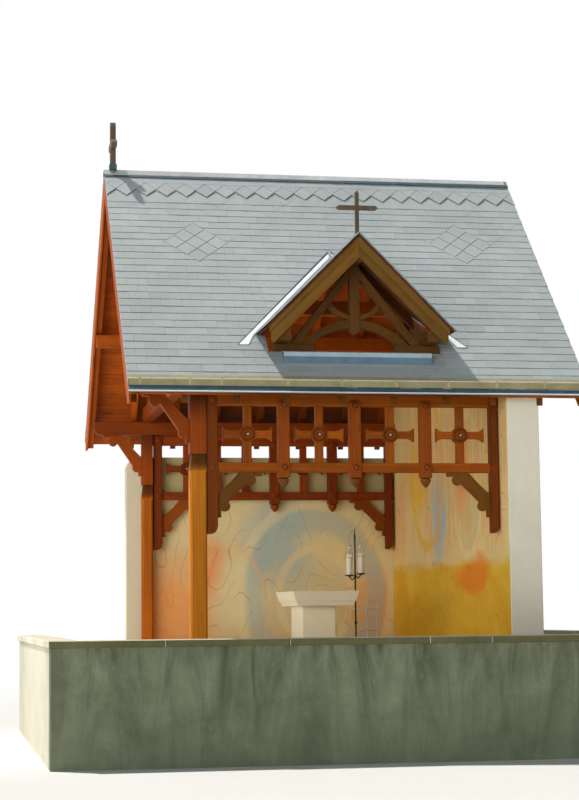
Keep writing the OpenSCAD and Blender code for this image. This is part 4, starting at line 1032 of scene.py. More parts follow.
def buildFrieze(tag, x0, postX, yBase, material, bright, dull):
    # rails from the post to the wall, outer stiles, pendants, and a flared cross in each of four bays
    f = frieze
    rails, stiles, crosses, brackets, bolts = [newPiece() for i in range(5)]
    for z0, z1 in ((f["top0"], f["top1"]), (f["low0"], f["low1"])):
        # a worked chamfer runs along the lower front edge
        y, h = yBase + f["railY"], f["railCut"]
        outline = [(y + h, z0), (y + f["railT"], z0), (y + f["railT"], z1), (y, z1), (y, z0 + h)]
        prism(rails, outline, postX, wallRight["x0"], alongX, bevel=0.004)
    low, top, yF = f["low0"], f["top0"], yBase
    stileTop = f["top1"] - 0.005
    for x, w in ((x0, f["left"]), (x0 + f["length"] - f["right"], f["right"])):
        end, flat, curve = f["stileEnd"], 0.4 * w, 0.6 * w
        turns = [math.radians(a) for a in (20, 40, 60, 80, 90)]
        outline = [(x, end), (x + flat, end)]
        outline += [(x + flat + curve * math.sin(a), end + f["stileTaper"] * (1 - math.cos(a)))
                    for a in turns]
        outline += [(x + w, stileTop), (x, stileTop)]
        # the outer stiles get a darker tone, a painted shade beside the post and the wall
        prism(stiles, outline, yF, yF + f["stileT"], alongY, grainAngle=90, bevel=0.005, tone=-0.2)
        for z in ((f["low0"] + f["low1"]) / 2, (f["top0"] + f["top1"]) / 2):
            peg(stiles, x + w / 2, yF, z, 0.030, 0.010)
    for i in range(3):
        x = x0 + f["left"] + (i + 1) * bayWidth + (i + 0.5) * f["pendant"]
        w = f["pendant"] / 2
        beam(stiles, (x - w, yF, low - 0.066), (x + w, yF + f["stileT"], top + 0.060), "z", bevel=0.006)
        lathe(stiles, placed(turnedDrop, 0, low), (x, yF + f["stileT"] / 2, 0), "z", 32, tone=dropHighlightShadeTone)
        for z in ((f["low0"] + f["low1"]) / 2, top + 0.010):
            peg(stiles, x, yF, z, 0.052)
            peg(stiles, x, yF + f["stileT"] + 0.001, z, 0.045, 0.002)
    mid = yBase + f["railY"] + f["railT"] / 2
    for i in range(4):
        x = x0 + f["left"] + (i + 0.5) * bayWidth + i * f["pendant"]
        z = (f["low1"] + f["top0"]) / 2
        beam(crosses, (x - f["crossStile"] / 2, mid - f["crossT"] / 2, f["low1"]),
             (x + f["crossStile"] / 2, mid + f["crossT"] / 2, f["top0"]), "z", bevel=0.004)
        half = [(0.05, 0.044)] + [(0.210 + 0.090 * s, 0.044 + 0.044 * s ** 2.2)
                                  for s in (0, 0.25, 0.5, 0.7, 0.85, 1.0)]
        for s in (-1, 1):
            arm = placed(half + [(p[0], -p[1]) for p in half[::-1]], x, z, s)
            prism(crosses, arm, mid - f["crossT"] / 2 + 0.002, mid + f["crossT"] / 2 - 0.002, alongY,
                  grainAngle=0, bevel=0.004)
        for s in (-1, 1):
            lathe(crosses, rosette, (x, mid, z), "y", 40, flip=s, grainAlong=False, tone=discHighlightShadeTone)
            lathe(bolts, boltHead, (x, mid, z), "y", 20, flip=s, tone=1.0)
    shape = cornerBrace(f["bracket"], f["bracket"], 0.045, 0.062, (0.405, 0.092), (0.092, 0.405), 0.262,
                        0.262, 0.12)
    for x, s in ((x0 + f["left"], 1), (x0 + f["length"] - f["right"], -1)):
        prism(brackets, placed(shape, x, low, s), mid - f["bracketHalf"], mid + f["bracketHalf"], alongY,
              grainAngle=45 * s, bevel=0.004)
    finishTimber(tag + "_rails", rails, [tag + "_frieze_rails"], bright)
    left, right = x0 + f["left"] + 0.05 + originShift.x, x0 + f["length"] - f["right"] - 0.05 + originShift.x

    def isTurned(face):
        return left < face.center.x < right and face.center.z < low - 0.068 + originShift.z

    makePiece(tag + "_stiles_and_pendants", stiles, [material, dull], [tag + "_frieze_stiles"],
              isTurned)
    finishTimber(tag + "_carved_crosses", crosses, [tag + "_frieze_crosses"], bright)
    makePiece(tag + "_rosette_bolts", bolts, [zincBright], ())
    finishTimber(tag + "_scalloped_brackets", brackets, [tag + "_frieze_brackets"], dull)


# the front frieze's turned drops and brackets take shadeOak, a painted shade
buildFrieze("front", 0.208, 0.200, 0.0, oakFrieze, carvedOak, shadeOak)
buildFrieze("rear", 0.180, 0.160, frameDepth - 0.120, rearOak, rearOak, oakFrieze)
print("friezes carved")


# dormer

dormerCut = {"barge": 0.180, "bargeT": 0.030, "end": 0.110, "lath": 0.105, "rafter": 0.095, "rafterW": 0.070,
             "plateX": 0.915, "plateR": 0.080, "seam": 0.0006}
plateZ = dormer["top"] - roof["underBoards"] - dormerCut["rafter"] * root2 - dormerCut["plateX"] - 0.130
sillTop, trussZ, beamZ = 3.800, 3.893, 4.860
verge = newPiece()
endX, vergeTop = dormer["half"] - dormerCut["end"], dormer["top"] - roof["cover"] * root2
vergeLow = vergeTop - dormerCut["barge"] * root2
zT, zB = vergeTop - endX, vergeLow - endX
# plumb-cut end with a rounded lower corner, and a thinner lath along the slates' edge
board = [(0, vergeTop), (endX, zT), (endX, zB + 0.10), (endX - 0.010, zB + 0.062),
         (endX - 0.034, zB + 0.038), (0, vergeLow)]
lath = [(0, vergeTop), (endX + 0.02, zT - 0.02), (endX + 0.02, zT - 0.10), (0, vergeTop - dormerCut["lath"])]
for s in (-1, 1):
    for outline, y0, y1, bevel in ((board, 0, dormerCut["bargeT"], 0.004), (lath, -0.011, 0.002, 0.003)):
        prism(verge, placed(outline, dx + s * dormerCut["seam"], 0, s), dormer["y0"] + y0, dormer["y0"] + y1,
              alongY, grainAngle=-45 * s, bevel=bevel)
finishTimber("dormer_verge_boards", verge, ["dormer_barge_boards"], bargeOak)

ridgeBeam = newPiece()
yEnd = beamZ - (ridgeZ - ridgeY) + roof["underBoards"]
zEnd = dormer["top"] - roof["underBoards"] - 0.040
beam(ridgeBeam, (dx - 0.040, dormer["y0"] + 0.030, beamZ), (dx + 0.040, yEnd, zEnd), "y")
# the darkest oak here is partly a painted shade under the dormer
finishTimber("dormer_ridge_piece", ridgeBeam, ["dormer_ridge_beam"], agedOak)

sidePlates = newPiece()
for s in (-1, 1):
    c, r = dx + s * dormerCut["plateX"], dormerCut["plateR"]
    outline = [(c - r, trussZ), (c + r, trussZ)] + arc(c, plateZ, r, 0, 180, 16)
    y1 = plateZ - (ridgeZ - ridgeY) + 0.02
    prism(sidePlates, outline, dormer["y0"] + 0.030, max(0.12, y1), alongY, bevel=0.005)
# the darkest oak here is partly a painted shade under the dormer
finishTimber("dormer_side_plates", sidePlates, ["dormer_plates"], agedOak)

dormerRafters = newPiece()
for y in (dormer["y0"] + 0.030, 0.040, 0.550):
    for s in (-1, 1):
        d0, d1, half = roof["cover"], roof["cover"] + dormerCut["rafter"], dormer["half"] - 0.060
        reach = half - d1 / root2
        if y > 0.3:
            # the rafter's foot stops on the main slope behind it
            reach = min(reach, dormer["top"] - (ridgeZ - ridgeY) - y - d0 * root2 + 0.03)
        corners = ((0.040, d0), (reach, d0), (reach, d1), (0.040, d1))
        outline = [(x, dormer["top"] - x - d * root2) for x, d in corners]
        prism(dormerRafters, placed(outline, dx, 0, s), y, y + dormerCut["rafterW"], alongY,
              grainAngle=-45 * s, bevel=0.004)
finishTimber("dormer_common_rafters", dormerRafters, ["dormer_rafters"], darkBoards)

sill = newPiece()
beam(sill, (dx - 1.020, 0.020, plate["z1"]), (dx + 1.020, 0.140, sillTop), "x")
for s in (-1, 1):
    a, b = dx + s * 0.500, dx + s * 1.010
    beam(sill, (min(a, b), 0.030, sillTop - 0.001), (max(a, b), 0.130, trussZ), "x")
# the darkest oak here is partly a painted shade under the dormer
finishTimber("dormer_sill", sill, ["dormer_sill_beam"], agedOak)

truss = newPiece()
archRise, archBand, archSpan, curveR, curveBand = 0.203, 0.100, 1.056, 0.380, 0.031
archR = (archSpan ** 2 / 4 + archRise ** 2) / (2 * archRise)
archZ = trussZ + archRise - archR
outer = archR + archBand
kingEnd, k, w = trussZ + 0.167, 0.060, 0.800 - 0.110
kingLeft = [(-k, kingEnd), (-0.042, kingEnd - 0.006), (-0.030, kingEnd - 0.022), (-0.020, kingEnd - 0.040)]
king = kingLeft + placed(kingLeft, 0, 0, -1)[::-1] + [(k, beamZ), (-k, beamZ)]
prism(truss, placed(king, dx), 0.024, 0.136, alongY, grainAngle=90, bevel=0.004)
crotch = trussZ + w * (beamZ - 0.160 - trussZ) / (w - k)
principal = [(0.800, trussZ), (0.800, trussZ + 0.012), (k - 0.02, beamZ), (0, beamZ), (0, crotch),
             (w, trussZ)]
for s in (-1, 1):
    prism(truss, placed(principal, dx, 0, s), 0.030, 0.130, alongY, grainAngle=-52 * s, bevel=0.005)
a, b = [math.degrees(math.asin((trussZ - archZ) / r)) for r in (outer, archR)]
curvedBand(truss, dx, archZ, archR, outer, (b, 180 - b), (a, 180 - a), 0.036, 0.124)
archTop = trussZ + archRise + archBand
sag = (210, 330)
curvedBand(truss, dx, archTop + curveR + 0.024, curveR - curveBand, curveR + curveBand, sag, sag, 0.040,
           0.120)
pegPlaces = [(0, archTop - 0.05), (0, beamZ - 0.10)]
pegPlaces += [(s * x, z) for x, z in ((0.47, trussZ + 0.10), (0.30, archTop + 0.16)) for s in (-1, 1)]
for px, pz in pegPlaces:
    peg(truss, dx + px, 0.030, pz, 0.013, 0.008)
finishTimber("dormer_carved_truss", truss, ["dormer_truss"], agedOak)

# zinc sheets: the sill with its drip, and both valleys with a dark raised edge
sheets, valleyEdges = newPiece(), newPiece()
sillSheet = {"half": 0.915, "y": 0.020, "out": 0.165, "drip": 0.083, "fold": 0.031}
sillY, sillHalf = sillSheet["y"] - sillSheet["out"], sillSheet["half"]
sillOutline = [(sillY - 0.001, sillTop - sillSheet["drip"]), (sillY - 0.001, sillTop - sillSheet["fold"]),
               (sillSheet["y"], sillTop + 0.002), (sillSheet["y"], sillTop - 0.004),
               (sillY + 0.004, sillTop - 0.040), (sillY + 0.004, sillTop - sillSheet["drip"])]
apronOutline = [(sillY + 0.003, sillTop - sillSheet["out"] + 0.003), (sillY + 0.003, sillTop - 0.036),
                (sillSheet["y"] - 0.02, sillTop - 0.02)]
# the blue apron under the sill is a painted sky reflection
sillApron = newPiece()
for piece, outline, tone in ((sheets, sillOutline, 0.2), (sillApron, apronOutline, 0.5)):
    prism(piece, outline, dx - sillHalf, dx + sillHalf, alongX, bevel=0, wobble=0.0006, step=0.2, tone=tone)
makePiece("dormer_sill_apron", sillApron, [sillSkyReflection], ())
# the valley sheets as (aside from the dormer's middle, height over the eave)
valleySheet = {"start": 0.020, "foot": 0.147, "wide": 0.065, "welt": 0.014}
dormerH, vh = dormer["top"] - roof["eaveZ"], dormer["half"] + 0.010
v0, vr, vw, welt = valleySheet["start"], valleySheet["foot"], valleySheet["wide"], valleySheet["welt"]
footZ, footX = dormerH - vh - vr, vh + vr + vw
strip = [(v0, dormerH - v0), (vh, dormerH - vh), (vh + 0.6 * vr, footZ), (footX, footZ),
         (v0, dormerH + vw - v0)]
weltStrip = [(v0, dormerH + vw - v0), (footX, footZ), (footX + welt, footZ), (v0, dormerH + vw + welt)]
for s in (-1, 1):
    for piece, points, lift, tone, edge in ((sheets, strip, 0.005, 0.8, 0.002),
                                            (valleyEdges, weltStrip, 0.006, 0.2, 0.001)):
        outline = [(dx + s * a, h * root2) for a, h in points]
        slatePlate(piece, outline, frontPlace, 0, roof["slate"] + lift, 0, 0.006, tone, edge=edge)
makePiece("valley_edges", valleyEdges, [leadAndShadowDark], ())
# the sheets' front faces take the pale zinc, a painted highlight of the sill's lit top
makePiece("dormer_zinc_sheets", sheets, [zincBright, sillHighlight], ["dormer_flashings"],
          lambda f: f.normal.y < -0.9)
print("dormer framed")


# crosses

def crossOutline(h, z, a, w, t, base):
    # top at h, arms at height z that reach out to a, upright and arm widths w and t, pointed ends
    p = 0.6 * t
    right = [(w / 2, base), (w / 2, z - t / 2), (a - p, z - t / 2), (a, z), (a - p, z + t / 2),
             (w / 2, z + t / 2), (w / 2, h - p)]
    return right + [(0, h)] + [(-q[0], q[1]) for q in right[::-1]]


dCross = newPiece()
yc = dormer["y0"] + 0.090
smallCross = placed(crossOutline(0.515, 0.300, 0.262, 0.046, 0.055, -0.02), dx, dormer["top"])
prism(dCross, smallCross, yc, yc + 0.045, alongY, grainAngle=90, bevel=0.004)
peg(dCross, dx, yc, dormer["top"] + 0.300, 0.012, 0.006)
finishTimber("dormer_cross_upright", dCross, ["dormer_cross"], crossOak)

rCross = newPiece()
xc = roof["x0"] + 0.084
largeCross = placed(crossOutline(0.667, 0.337, 0.250, 0.076, 0.100, 0.0), ridgeY, ridgeZ)
prism(rCross, largeCross, xc, xc + 0.075, alongX, grainAngle=90, bevel=0.005)
finishTimber("ridge_cross_upright", rCross, ["ridge_cross"], crossOak)
collar = newPiece()
beam(collar, (xc - 0.012, ridgeY - 0.050, ridgeZ + 0.012), (xc + 0.087, ridgeY + 0.050, ridgeZ + 0.085), "z",
     bevel=0.004)
makePiece("ridge_cross_collar", collar, [leadAndShadowDark], ())
print("crosses set")


# walls

def wallWash(name, base, washes, arcs, seed, folds, lineColour, lineAmount, cap, edge=None, ground=None):
    # plaster painted in soft washes: each wash is a place, a size, a colour and a strength, each arc a
    # place, a radius, a width, a colour and a strength; folds are long strokes that hang down
    mat, tree, shader = newMaterial(name, **{"Specular IOR Level": 0.25})
    place = placeOf(tree)
    speck = useGroup(tree, grit, {"Place": place, "Size": 45.0})
    marks = useGroup(tree, rainStains, {"Place": place, "Top": 3.9, "Reach": 3.4, "Amount": 1.0})
    start = vectorMath(tree, "ADD", {0: place, 1: (seed, seed, 0)})
    swirl = node(tree, "ShaderNodeTexNoise", {"Vector": start, "Scale": 1.1, "Detail": 5.0, "Roughness": 0.55,
                                              "Distortion": 0.5}).outputs["Color"]
    warp = vectorMath(tree, "SUBTRACT", {0: swirl, 1: (0.5, 0.5, 0.5)})
    warped, calm = [vectorMath(tree, "MULTIPLY_ADD", {0: warp, 1: (k, k, k), 2: place}) for k in (0.55, 0.16)]
    brush = noiseAt(tree, stretch(tree, warped, (2.2, 2.2, 9.0)), 1.0, 6, 0.68, 0.9)
    hang = noiseAt(tree, stretch(tree, calm, (9.0, 9.0, 0.9)), 1.0, 5, 0.6, 0.4)

    def farFrom(where, centre, size):
        middle = tuple(centre[i] + originShift[i] for i in range(3))
        away = vectorMath(tree, "SUBTRACT", {0: where, 1: middle})
        return vectorMath(tree, "LENGTH", {0: stretch(tree, away, tuple(1 / s for s in size))}, "Value")

    def brushed(mask, low, high, outLow, outHigh):
        return product(tree, mask, spread(tree, brush, low, high, outLow, outHigh), True)

    colour = mixColour(tree, marks["Blotch"], base, tuple(c * 0.9 for c in base))
    for centre, size, tint, amount in washes:
        mask = spread(tree, farFrom(warped, centre, size), 0.45, 1.10, amount, 0.0)
        colour = mixColour(tree, brushed(mask, 0.28, 0.72, 0.65, 1.1), colour, tint)
    for centre, size, width, tint, amount in arcs:
        ring = number(tree, "ABSOLUTE", number(tree, "SUBTRACT", farFrom(calm, centre, size), 1.0))
        mask = spread(tree, ring, width * 0.45, width, amount, 0.0)
        colour = mixColour(tree, brushed(mask, 0.25, 0.75, 0.55, 1.15), colour, tint)
    floorZ, high = originShift.z, axisOf(tree, place, "Z")
    for low, rise, tint, amount in folds:
        faded = spread(tree, high, low + floorZ, low + rise + floorZ, 0.0, amount)
        colour = mixColour(tree, product(tree, spread(tree, hang, 0.46, 0.60), faded), colour, tint)
    if ground:
        # a strong field of colour along the foot, with spots in it
        level, light, deep, strength, spots = ground
        sway = noiseAt(tree, stretch(tree, place, (0.7, 0.7, 2.2)), 1.0, 5, 0.62, 0.3)
        border = number(tree, "ADD", high, product(tree, number(tree, "SUBTRACT", sway, 0.5), 0.34))
        field = mixColour(tree, spread(tree, sway, 0.36, 0.62), light, deep)
        mask = spread(tree, border, level - 0.07 + floorZ, level + 0.05 + floorZ, strength, 0.0)
        colour = mixColour(tree, mask, colour, field)
        for centre, size, tint, amount in spots:
            mask = spread(tree, farFrom(warped, centre, size), 0.60, 1.05, amount, 0.0)
            colour = mixColour(tree, brushed(mask, 0.30, 0.60, 0.7, 1.0), colour, tint)
    # loose drawn curves in a warm line
    flow = noiseAt(tree, stretch(tree, calm, (1.5, 1.5, 0.8)), 1.0, 1, 0.3)
    turns = number(tree, "SUBTRACT", number(tree, "FRACT", product(tree, flow, 11.0)), 0.5)
    curve = spread(tree, number(tree, "ABSOLUTE", turns), 0.010, 0.050, 1.0, 0.0)
    broken = spread(tree, noiseAt(tree, place, 1.6, 3, 0.5), 0.46, 0.56)
    drawn = product(tree, product(tree, curve, lineAmount, True), broken)
    colour = mixColour(tree, drawn, colour, lineColour)
    # a plain band over the painted part, in a darker colour that is a painted shade under the roof
    level, soft, tint = cap
    mask = spread(tree, high, level - soft + floorZ, level + soft + floorZ, 0.0, 0.92)
    colour = mixColour(tree, mask, colour, tint)
    if edge:
        # bare plaster beyond the painted part
        start, end = [x + originShift.x for x in edge]
        mask = spread(tree, axisOf(tree, place, "X"), start, end, 1.0, 0.0)
        colour = mixColour(tree, mask, colour, (0.66, 0.61, 0.45))
    colour = mixColour(tree, product(tree, marks["Mask"], 0.06), colour, (0.40, 0.30, 0.18))
    finishMaterial(tree, shader, colour, spread(tree, speck["Speckle"], 0, 1, 0.78, 0.92), speck["Height"],
                   0.003)
    return mat


walling = {"backY0": 5.676, "backY1": 5.876, "out": 0.217, "height": 2.970, "round": 0.200}
backY, sideX = walling["backY0"], wallRight["x0"]
# the darker band over the mural is a painted shade
rearWash = wallWash("rearWallWash", (0.74, 0.62, 0.34), [
    ((0.35, backY, 0.45), (0.95, 1, 1.25), (0.88, 0.34, 0.09), 1.0),
    ((0.30, backY, 1.95), (0.80, 1, 0.45), (0.80, 0.66, 0.34), 0.70),
    ((1.02, backY, 1.35), (0.26, 1, 0.55), (0.86, 0.28, 0.08), 0.80),
    ((1.50, backY, 0.95), (0.50, 1, 0.75), (0.84, 0.74, 0.42), 0.80),
    ((2.15, backY, 1.75), (0.70, 1, 0.75), (0.38, 0.50, 0.48), 0.85),
    ((2.75, backY, 1.70), (0.45, 1, 0.45), (0.82, 0.66, 0.32), 0.80),
    ((3.45, backY, 0.75), (0.50, 1, 0.60), (0.80, 0.36, 0.08), 0.80),
    ((3.55, backY, 1.75), (0.40, 1, 0.50), (0.82, 0.62, 0.22), 0.60),
    ((1.90, backY, 0.15), (1.10, 1, 0.40), (0.72, 0.46, 0.18), 0.65)], [
    ((2.60, backY, 0.90), (0.92, 1, 1.12), 0.20, (0.36, 0.48, 0.46), 0.60),
    ((2.60, backY, 0.90), (1.16, 1, 1.38), 0.08, (0.84, 0.70, 0.38), 0.55),
    ((2.60, backY, 0.90), (0.55, 1, 0.72), 0.13, (0.84, 0.66, 0.34), 0.70),
    ((1.45, backY, 0.55), (0.42, 1, 1.05), 0.10, (0.80, 0.50, 0.22), 0.45)], 3.0, [], (0.50, 0.22, 0.06),
                    0.55, (2.385, 0.004, (0.46, 0.385, 0.185)), edge=(0.00, 0.08))
# the dark brown band high on the right wall is a painted shade inside the roof
sideWash = wallWash("rightWallWash", (0.84, 0.64, 0.28), [
    ((sideX, 3.0, 1.95), (1, 0.50, 0.75), (0.36, 0.54, 0.62), 1.0),
    ((sideX, 4.1, 2.55), (1, 0.60, 0.70), (0.86, 0.52, 0.02), 1.0),
    ((sideX, 1.8, 2.55), (1, 0.50, 0.75), (0.84, 0.30, 0.07), 0.90),
    ((sideX, 0.6, 2.35), (1, 0.50, 0.80), (0.86, 0.62, 0.22), 0.70),
    ((sideX, 5.2, 2.00), (1, 0.45, 0.90), (0.84, 0.44, 0.17), 0.65),
    ((sideX, 1.3, 1.75), (1, 0.60, 0.40), (0.56, 0.54, 0.26), 0.75)], [
    ((sideX, 3.6, 2.60), (1, 0.85, 1.05), 0.09, (0.84, 0.52, 0.03), 0.85),
    ((sideX, 1.5, 2.30), (1, 0.70, 0.90), 0.07, (0.86, 0.66, 0.34), 0.75)], 11.0,
    [(1.30, 0.40, (0.86, 0.40, 0.14), 0.62)], (0.44, 0.17, 0.04), 0.50, (3.95, 0.22, (0.12, 0.045, 0.012)),
    ground=(1.30, (0.74, 0.38, 0.004), (0.80, 0.50, 0.035), 0.96,
            [((sideX, 1.35, 1.12), (1, 0.95, 0.26), (0.84, 0.20, 0.012), 0.80),
             ((sideX, 5.2, 0.50), (1, 0.60, 0.80), (0.62, 0.30, 0.006), 0.60)]))

backWall = newPiece()
left, high, bend = -walling["out"], walling["height"], walling["round"]
outline = [(left, 0), (wallRight["x0"], 0), (wallRight["x0"], high)]
outline += arc(left + bend, high - bend, bend, 90, 180, 12)
prism(backWall, outline, walling["backY0"], walling["backY1"], alongY, bevel=0.008, wobble=0)
makePiece("rear_plastered_wall", backWall, [plasterCream, rearWash], ["back_wall"],
          lambda f: f.normal.y < -0.9)

rightWall = newPiece()
w = wallRight
outline = [(w["y0"], 0), (w["y1"], 0)] + [(y, topAt(y) - roof["underBoards"])
                                          for y in (w["y1"], ridgeY, w["y0"])]
prism(rightWall, outline, w["x0"], w["x1"], alongX, bevel=0.010, wobble=0)
makePiece("right_plastered_wall", rightWall, [plasterWhite, sideWash], ["right_wall"],
          lambda f: f.normal.x < -0.9)
print("walls plastered")


# terrace

terrace = {"x0": -1.750, "x1": 5.790, "y0": -1.455, "y1": 6.455, "lip": 0.025, "wall": 0.300,
           "coping": 0.350, "top": 0.380, "thick": 0.080, "floor": 1.020, "slab": 0.150}


def roughWall(piece, lo, hi, cell=0.11, depth=0.004):
    # a rendered wall whose faces wave a little
    counts = [max(1, round((hi[i] - lo[i]) / cell)) for i in range(3)]
    for axis in range(3):
        u, v = [i for i in range(3) if i != axis]
        for side in (0, 1):
            points, faces = [], []
            for i in range(counts[u] + 1):
                for j in range(counts[v] + 1):
                    p = [0, 0, 0]
                    p[axis] = (lo, hi)[side][axis]
                    p[u] = lo[u] + (hi[u] - lo[u]) * i / counts[u]
                    p[v] = lo[v] + (hi[v] - lo[v]) * j / counts[v]
                    rim = i in (0, counts[u]) or j in (0, counts[v])
                    wave = 0.5 + 0.5 * noise.fractal(Vector(p) * 2.3, 1.0, 2.0, 3)
                    inward = 0.0 if rim else depth * wave
                    p[axis] += -inward if side else inward
                    points.append(p)
            n = counts[v] + 1
            for i in range(counts[u]):
                for j in range(counts[v]):
                    f = [i * n + j, (i + 1) * n + j, (i + 1) * n + j + 1, i * n + j + 1]
                    faces.append(f if (side == 1) != (axis == 1) else f[::-1])
            addFaces(piece, points, faces, tone=0.5, smooth=True)


# outer and inner faces of the walls, and their foot and top
lip, thickness = terrace["lip"], terrace["wall"]
ox0, ox1, oy0, oy1 = terrace["x0"] + lip, terrace["x1"] - lip, terrace["y0"] + lip, terrace["y1"] - lip
ix0, ix1, iy0, iy1 = ox0 + thickness, ox1 - thickness, oy0 + thickness, oy1 - thickness
wallFoot, copingUnder = -terrace["floor"], terrace["top"] - terrace["thick"]
frontWall, sideWalls, rearWall = newPiece(), newPiece(), newPiece()
roughWall(frontWall, (ox0, oy0, wallFoot), (ox1, iy0, copingUnder))
# the front wall's dark render is partly a painted shade and the side walls' pale render a painted sunlight
makePiece("terrace_front_render", frontWall, [renderStainedShaded], ["terrace_front_wall"])
for x in (ox0, ix1):
    roughWall(sideWalls, (x, iy0, wallFoot), (x + thickness, oy1, copingUnder))
makePiece("terrace_side_render", sideWalls, [renderPaintedSunlit], ["terrace_side_walls"])
roughWall(rearWall, (ix0, iy1, wallFoot), (ix1, iy1 + thickness, 0))
makePiece("terrace_rear_render", rearWall, [renderStainedShaded], ["terrace_rear_wall"])


stoneEdge = {"bevel": 0.007, "step": 0.16, "wobble": 0.0012}
coping = newPiece()
joints = [terrace["x0"], -0.478, 0.916, 2.516, 3.239, 4.560, terrace["x1"]]
joint, wide, sideStones = 0.003, terrace["coping"], 7
for a, b in zip(joints, joints[1:]):
    a, b = a + (joint if a > terrace["x0"] else 0), b - (joint if b < terrace["x1"] else 0)
    beam(coping, (a, terrace["y0"], copingUnder), (b, terrace["y0"] + wide, terrace["top"]), "x", **stoneEdge)
for x in (terrace["x0"], terrace["x1"] - wide):
    y = terrace["y0"] + wide
    for i in range(sideStones):
        a, b = [y + (terrace["y1"] - y) * k / sideStones for k in (i, i + 1)]
        b -= joint if i < sideStones - 1 else 0
        beam(coping, (x, a + joint, copingUnder), (x + wide, b, terrace["top"]), "y", **stoneEdge)
# the top and left faces take the pale stone, a painted sunlight, and the rest the dark one, a painted shade
makePiece("coping_stones", coping, [copingShadedStone, copingSunlitStone], ["terrace_coping"],
          lambda f: f.normal.z > 0.3 or f.normal.x < -0.5)

paving = newPiece()
flag = {"x": 0.62, "y": 0.46, "thick": 0.030, "joint": 0.005}
beam(paving, (ix0, iy0, -terrace["slab"]), (ix1, iy1, -flag["thick"]), "x", bevel=0, wobble=0, step=9)
y, row = iy0, 0
while y < iy1 - 0.01:
    yb = min(y + flag["y"], iy1)
    x = ix0 - (flag["x"] / 2 if row % 2 else 0)
    while x < ix1 - 0.01:
        a, b = max(x, ix0), min(x + flag["x"], ix1)
        if b - a > 0.03:
            half = flag["joint"] / 2
            beam(paving, (a + half, y + half, -flag["thick"]), (b - half, yb - half, 0), "z", bevel=0.004,
                 wobble=0)
        x += flag["x"]
    y, row = yb, row + 1
makePiece("floor_paving", paving, [pavingStone], ["floor_slab"])
print("terrace built")


# altar and stands

altar = {"x": 2.072, "y": 2.860, "w": 0.890, "l": 1.320, "h": 0.945, "t": 0.195, "band": 0.132,
         "baseW": 0.444, "baseL": 0.820, "shift": 0.054}
slab = newPiece()


def altarRing(inset, z, corner=0.004):
    a, b = altar["w"] / 2 - inset, altar["l"] / 2 - inset
    return [(altar["x"] + p, altar["y"] + q, z) for p, q in cornersOf(-a, -b, a, b, corner)]


h, under, band = altar["h"], altar["h"] - altar["t"], altar["h"] - altar["band"]
slabProfile = [(0.074, under), (0.070, under + 0.004), (0.052, band - 0.010), (0.050, band - 0.004),
               (0.041, band), (0.039, band + 0.004), (0.002, h - 0.008), (0.001, h - 0.004), (0.005, h)]
loft(slab, [altarRing(*r) for r in slabProfile])
makePiece("altar_slab", slab, [altarStone], ["altar_top"])
foot = newPiece()
bx = altar["x"] - altar["shift"]
halfW, halfL = altar["baseW"] / 2, altar["baseL"] / 2
beam(foot, (bx - halfW, altar["y"] - halfL, 0), (bx + halfW, altar["y"] + halfL, under), "z", bevel=0.006,
     wobble=0)
makePiece("altar_foot", foot, [altarStone], ["altar_base"])

ironBlack, tree, shader = newMaterial("blackIron", Metallic=0.6)
speck = useGroup(tree, grit, {"Place": placeOf(tree), "Size": 90.0})
colour = mixColour(tree, speck["Speckle"], (0.018, 0.017, 0.016), (0.045, 0.038, 0.032))
finishMaterial(tree, shader, colour, spread(tree, speck["Speckle"], 0, 1, 0.42, 0.62), speck["Height"],
               0.0008)

whitePaint, tree, shader = newMaterial("whitePaintedWire", **{"Specular IOR Level": 0.45})
speck = useGroup(tree, grit, {"Place": placeOf(tree), "Size": 70.0})
chips = spread(tree, noiseAt(tree, placeOf(tree), 22.0, 4, 0.6), 0.62, 0.70)
paint = mixColour(tree, speck["Speckle"], (0.82, 0.81, 0.77), (0.70, 0.69, 0.64))
colour = mixColour(tree, product(tree, chips, 0.7), paint, (0.28, 0.14, 0.07))
finishMaterial(tree, shader, colour, spread(tree, speck["Speckle"], 0, 1, 0.35, 0.5), speck["Height"], 0.0006)

waxWhite, tree, shader = newMaterial("candleWax", **{"Subsurface Weight": 0.25,
        "Subsurface Radius": (0.02, 0.014, 0.009), "Subsurface Scale": 0.4})
drip = noiseAt(tree, stretch(tree, placeOf(tree), (60, 60, 9)), 1.0, 4, 0.6)
colour = mixColour(tree, spread(tree, drip, 0.3, 0.7), (0.86, 0.83, 0.74), (0.78, 0.73, 0.60))
finishMaterial(tree, shader, colour, spread(tree, drip, 0.3, 0.7, 0.34, 0.5), drip, 0.001)

glassClear, tree, shader = newMaterial("lampGlass", **{"Transmission Weight": 1.0, "IOR": 1.45})
haze = noiseAt(tree, placeOf(tree), 30.0, 4, 0.6)
colour = mixColour(tree, haze, (0.97, 0.98, 0.98), (0.88, 0.91, 0.90))
finishMaterial(tree, shader, colour, spread(tree, haze, 0.3, 0.7, 0.03, 0.12))

candleStand = {"x": 2.675, "y": 3.200, "pole": 1.800, "poleR": 0.011, "footR": 0.130, "arm": 0.080,
               "z": 1.145, "candleR": 0.041, "candleH": 0.225, "glass": 0.185, "step": 0.022, "cupR": 0.062,
               "cupH": 0.026}
iron = newPiece()
cx, cy = candleStand["x"], candleStand["y"]
lathe(iron, [(0.001, 0), (0.126, 0), (0.130, 0.004), (0.130, 0.010), (0.118, 0.016), (0.060, 0.022),
             (0.030, 0.028), (0.016, 0.040), (0.011, 0.060), (0.011, 0.50), (0.018, 0.515), (0.018, 0.530),
             (0.011, 0.545), (0.011, 1.11), (0.017, 1.128), (0.019, 1.145), (0.017, 1.162), (0.011, 1.18),
             (0.011, 1.620), (0.014, 1.630), (0.010, 1.650), (0.014, 1.680), (0.009, 1.730), (0.004, 1.780),
             (0.001, 1.800)],
      (cx, cy, 0), "z", 24)
glasses = newPiece()
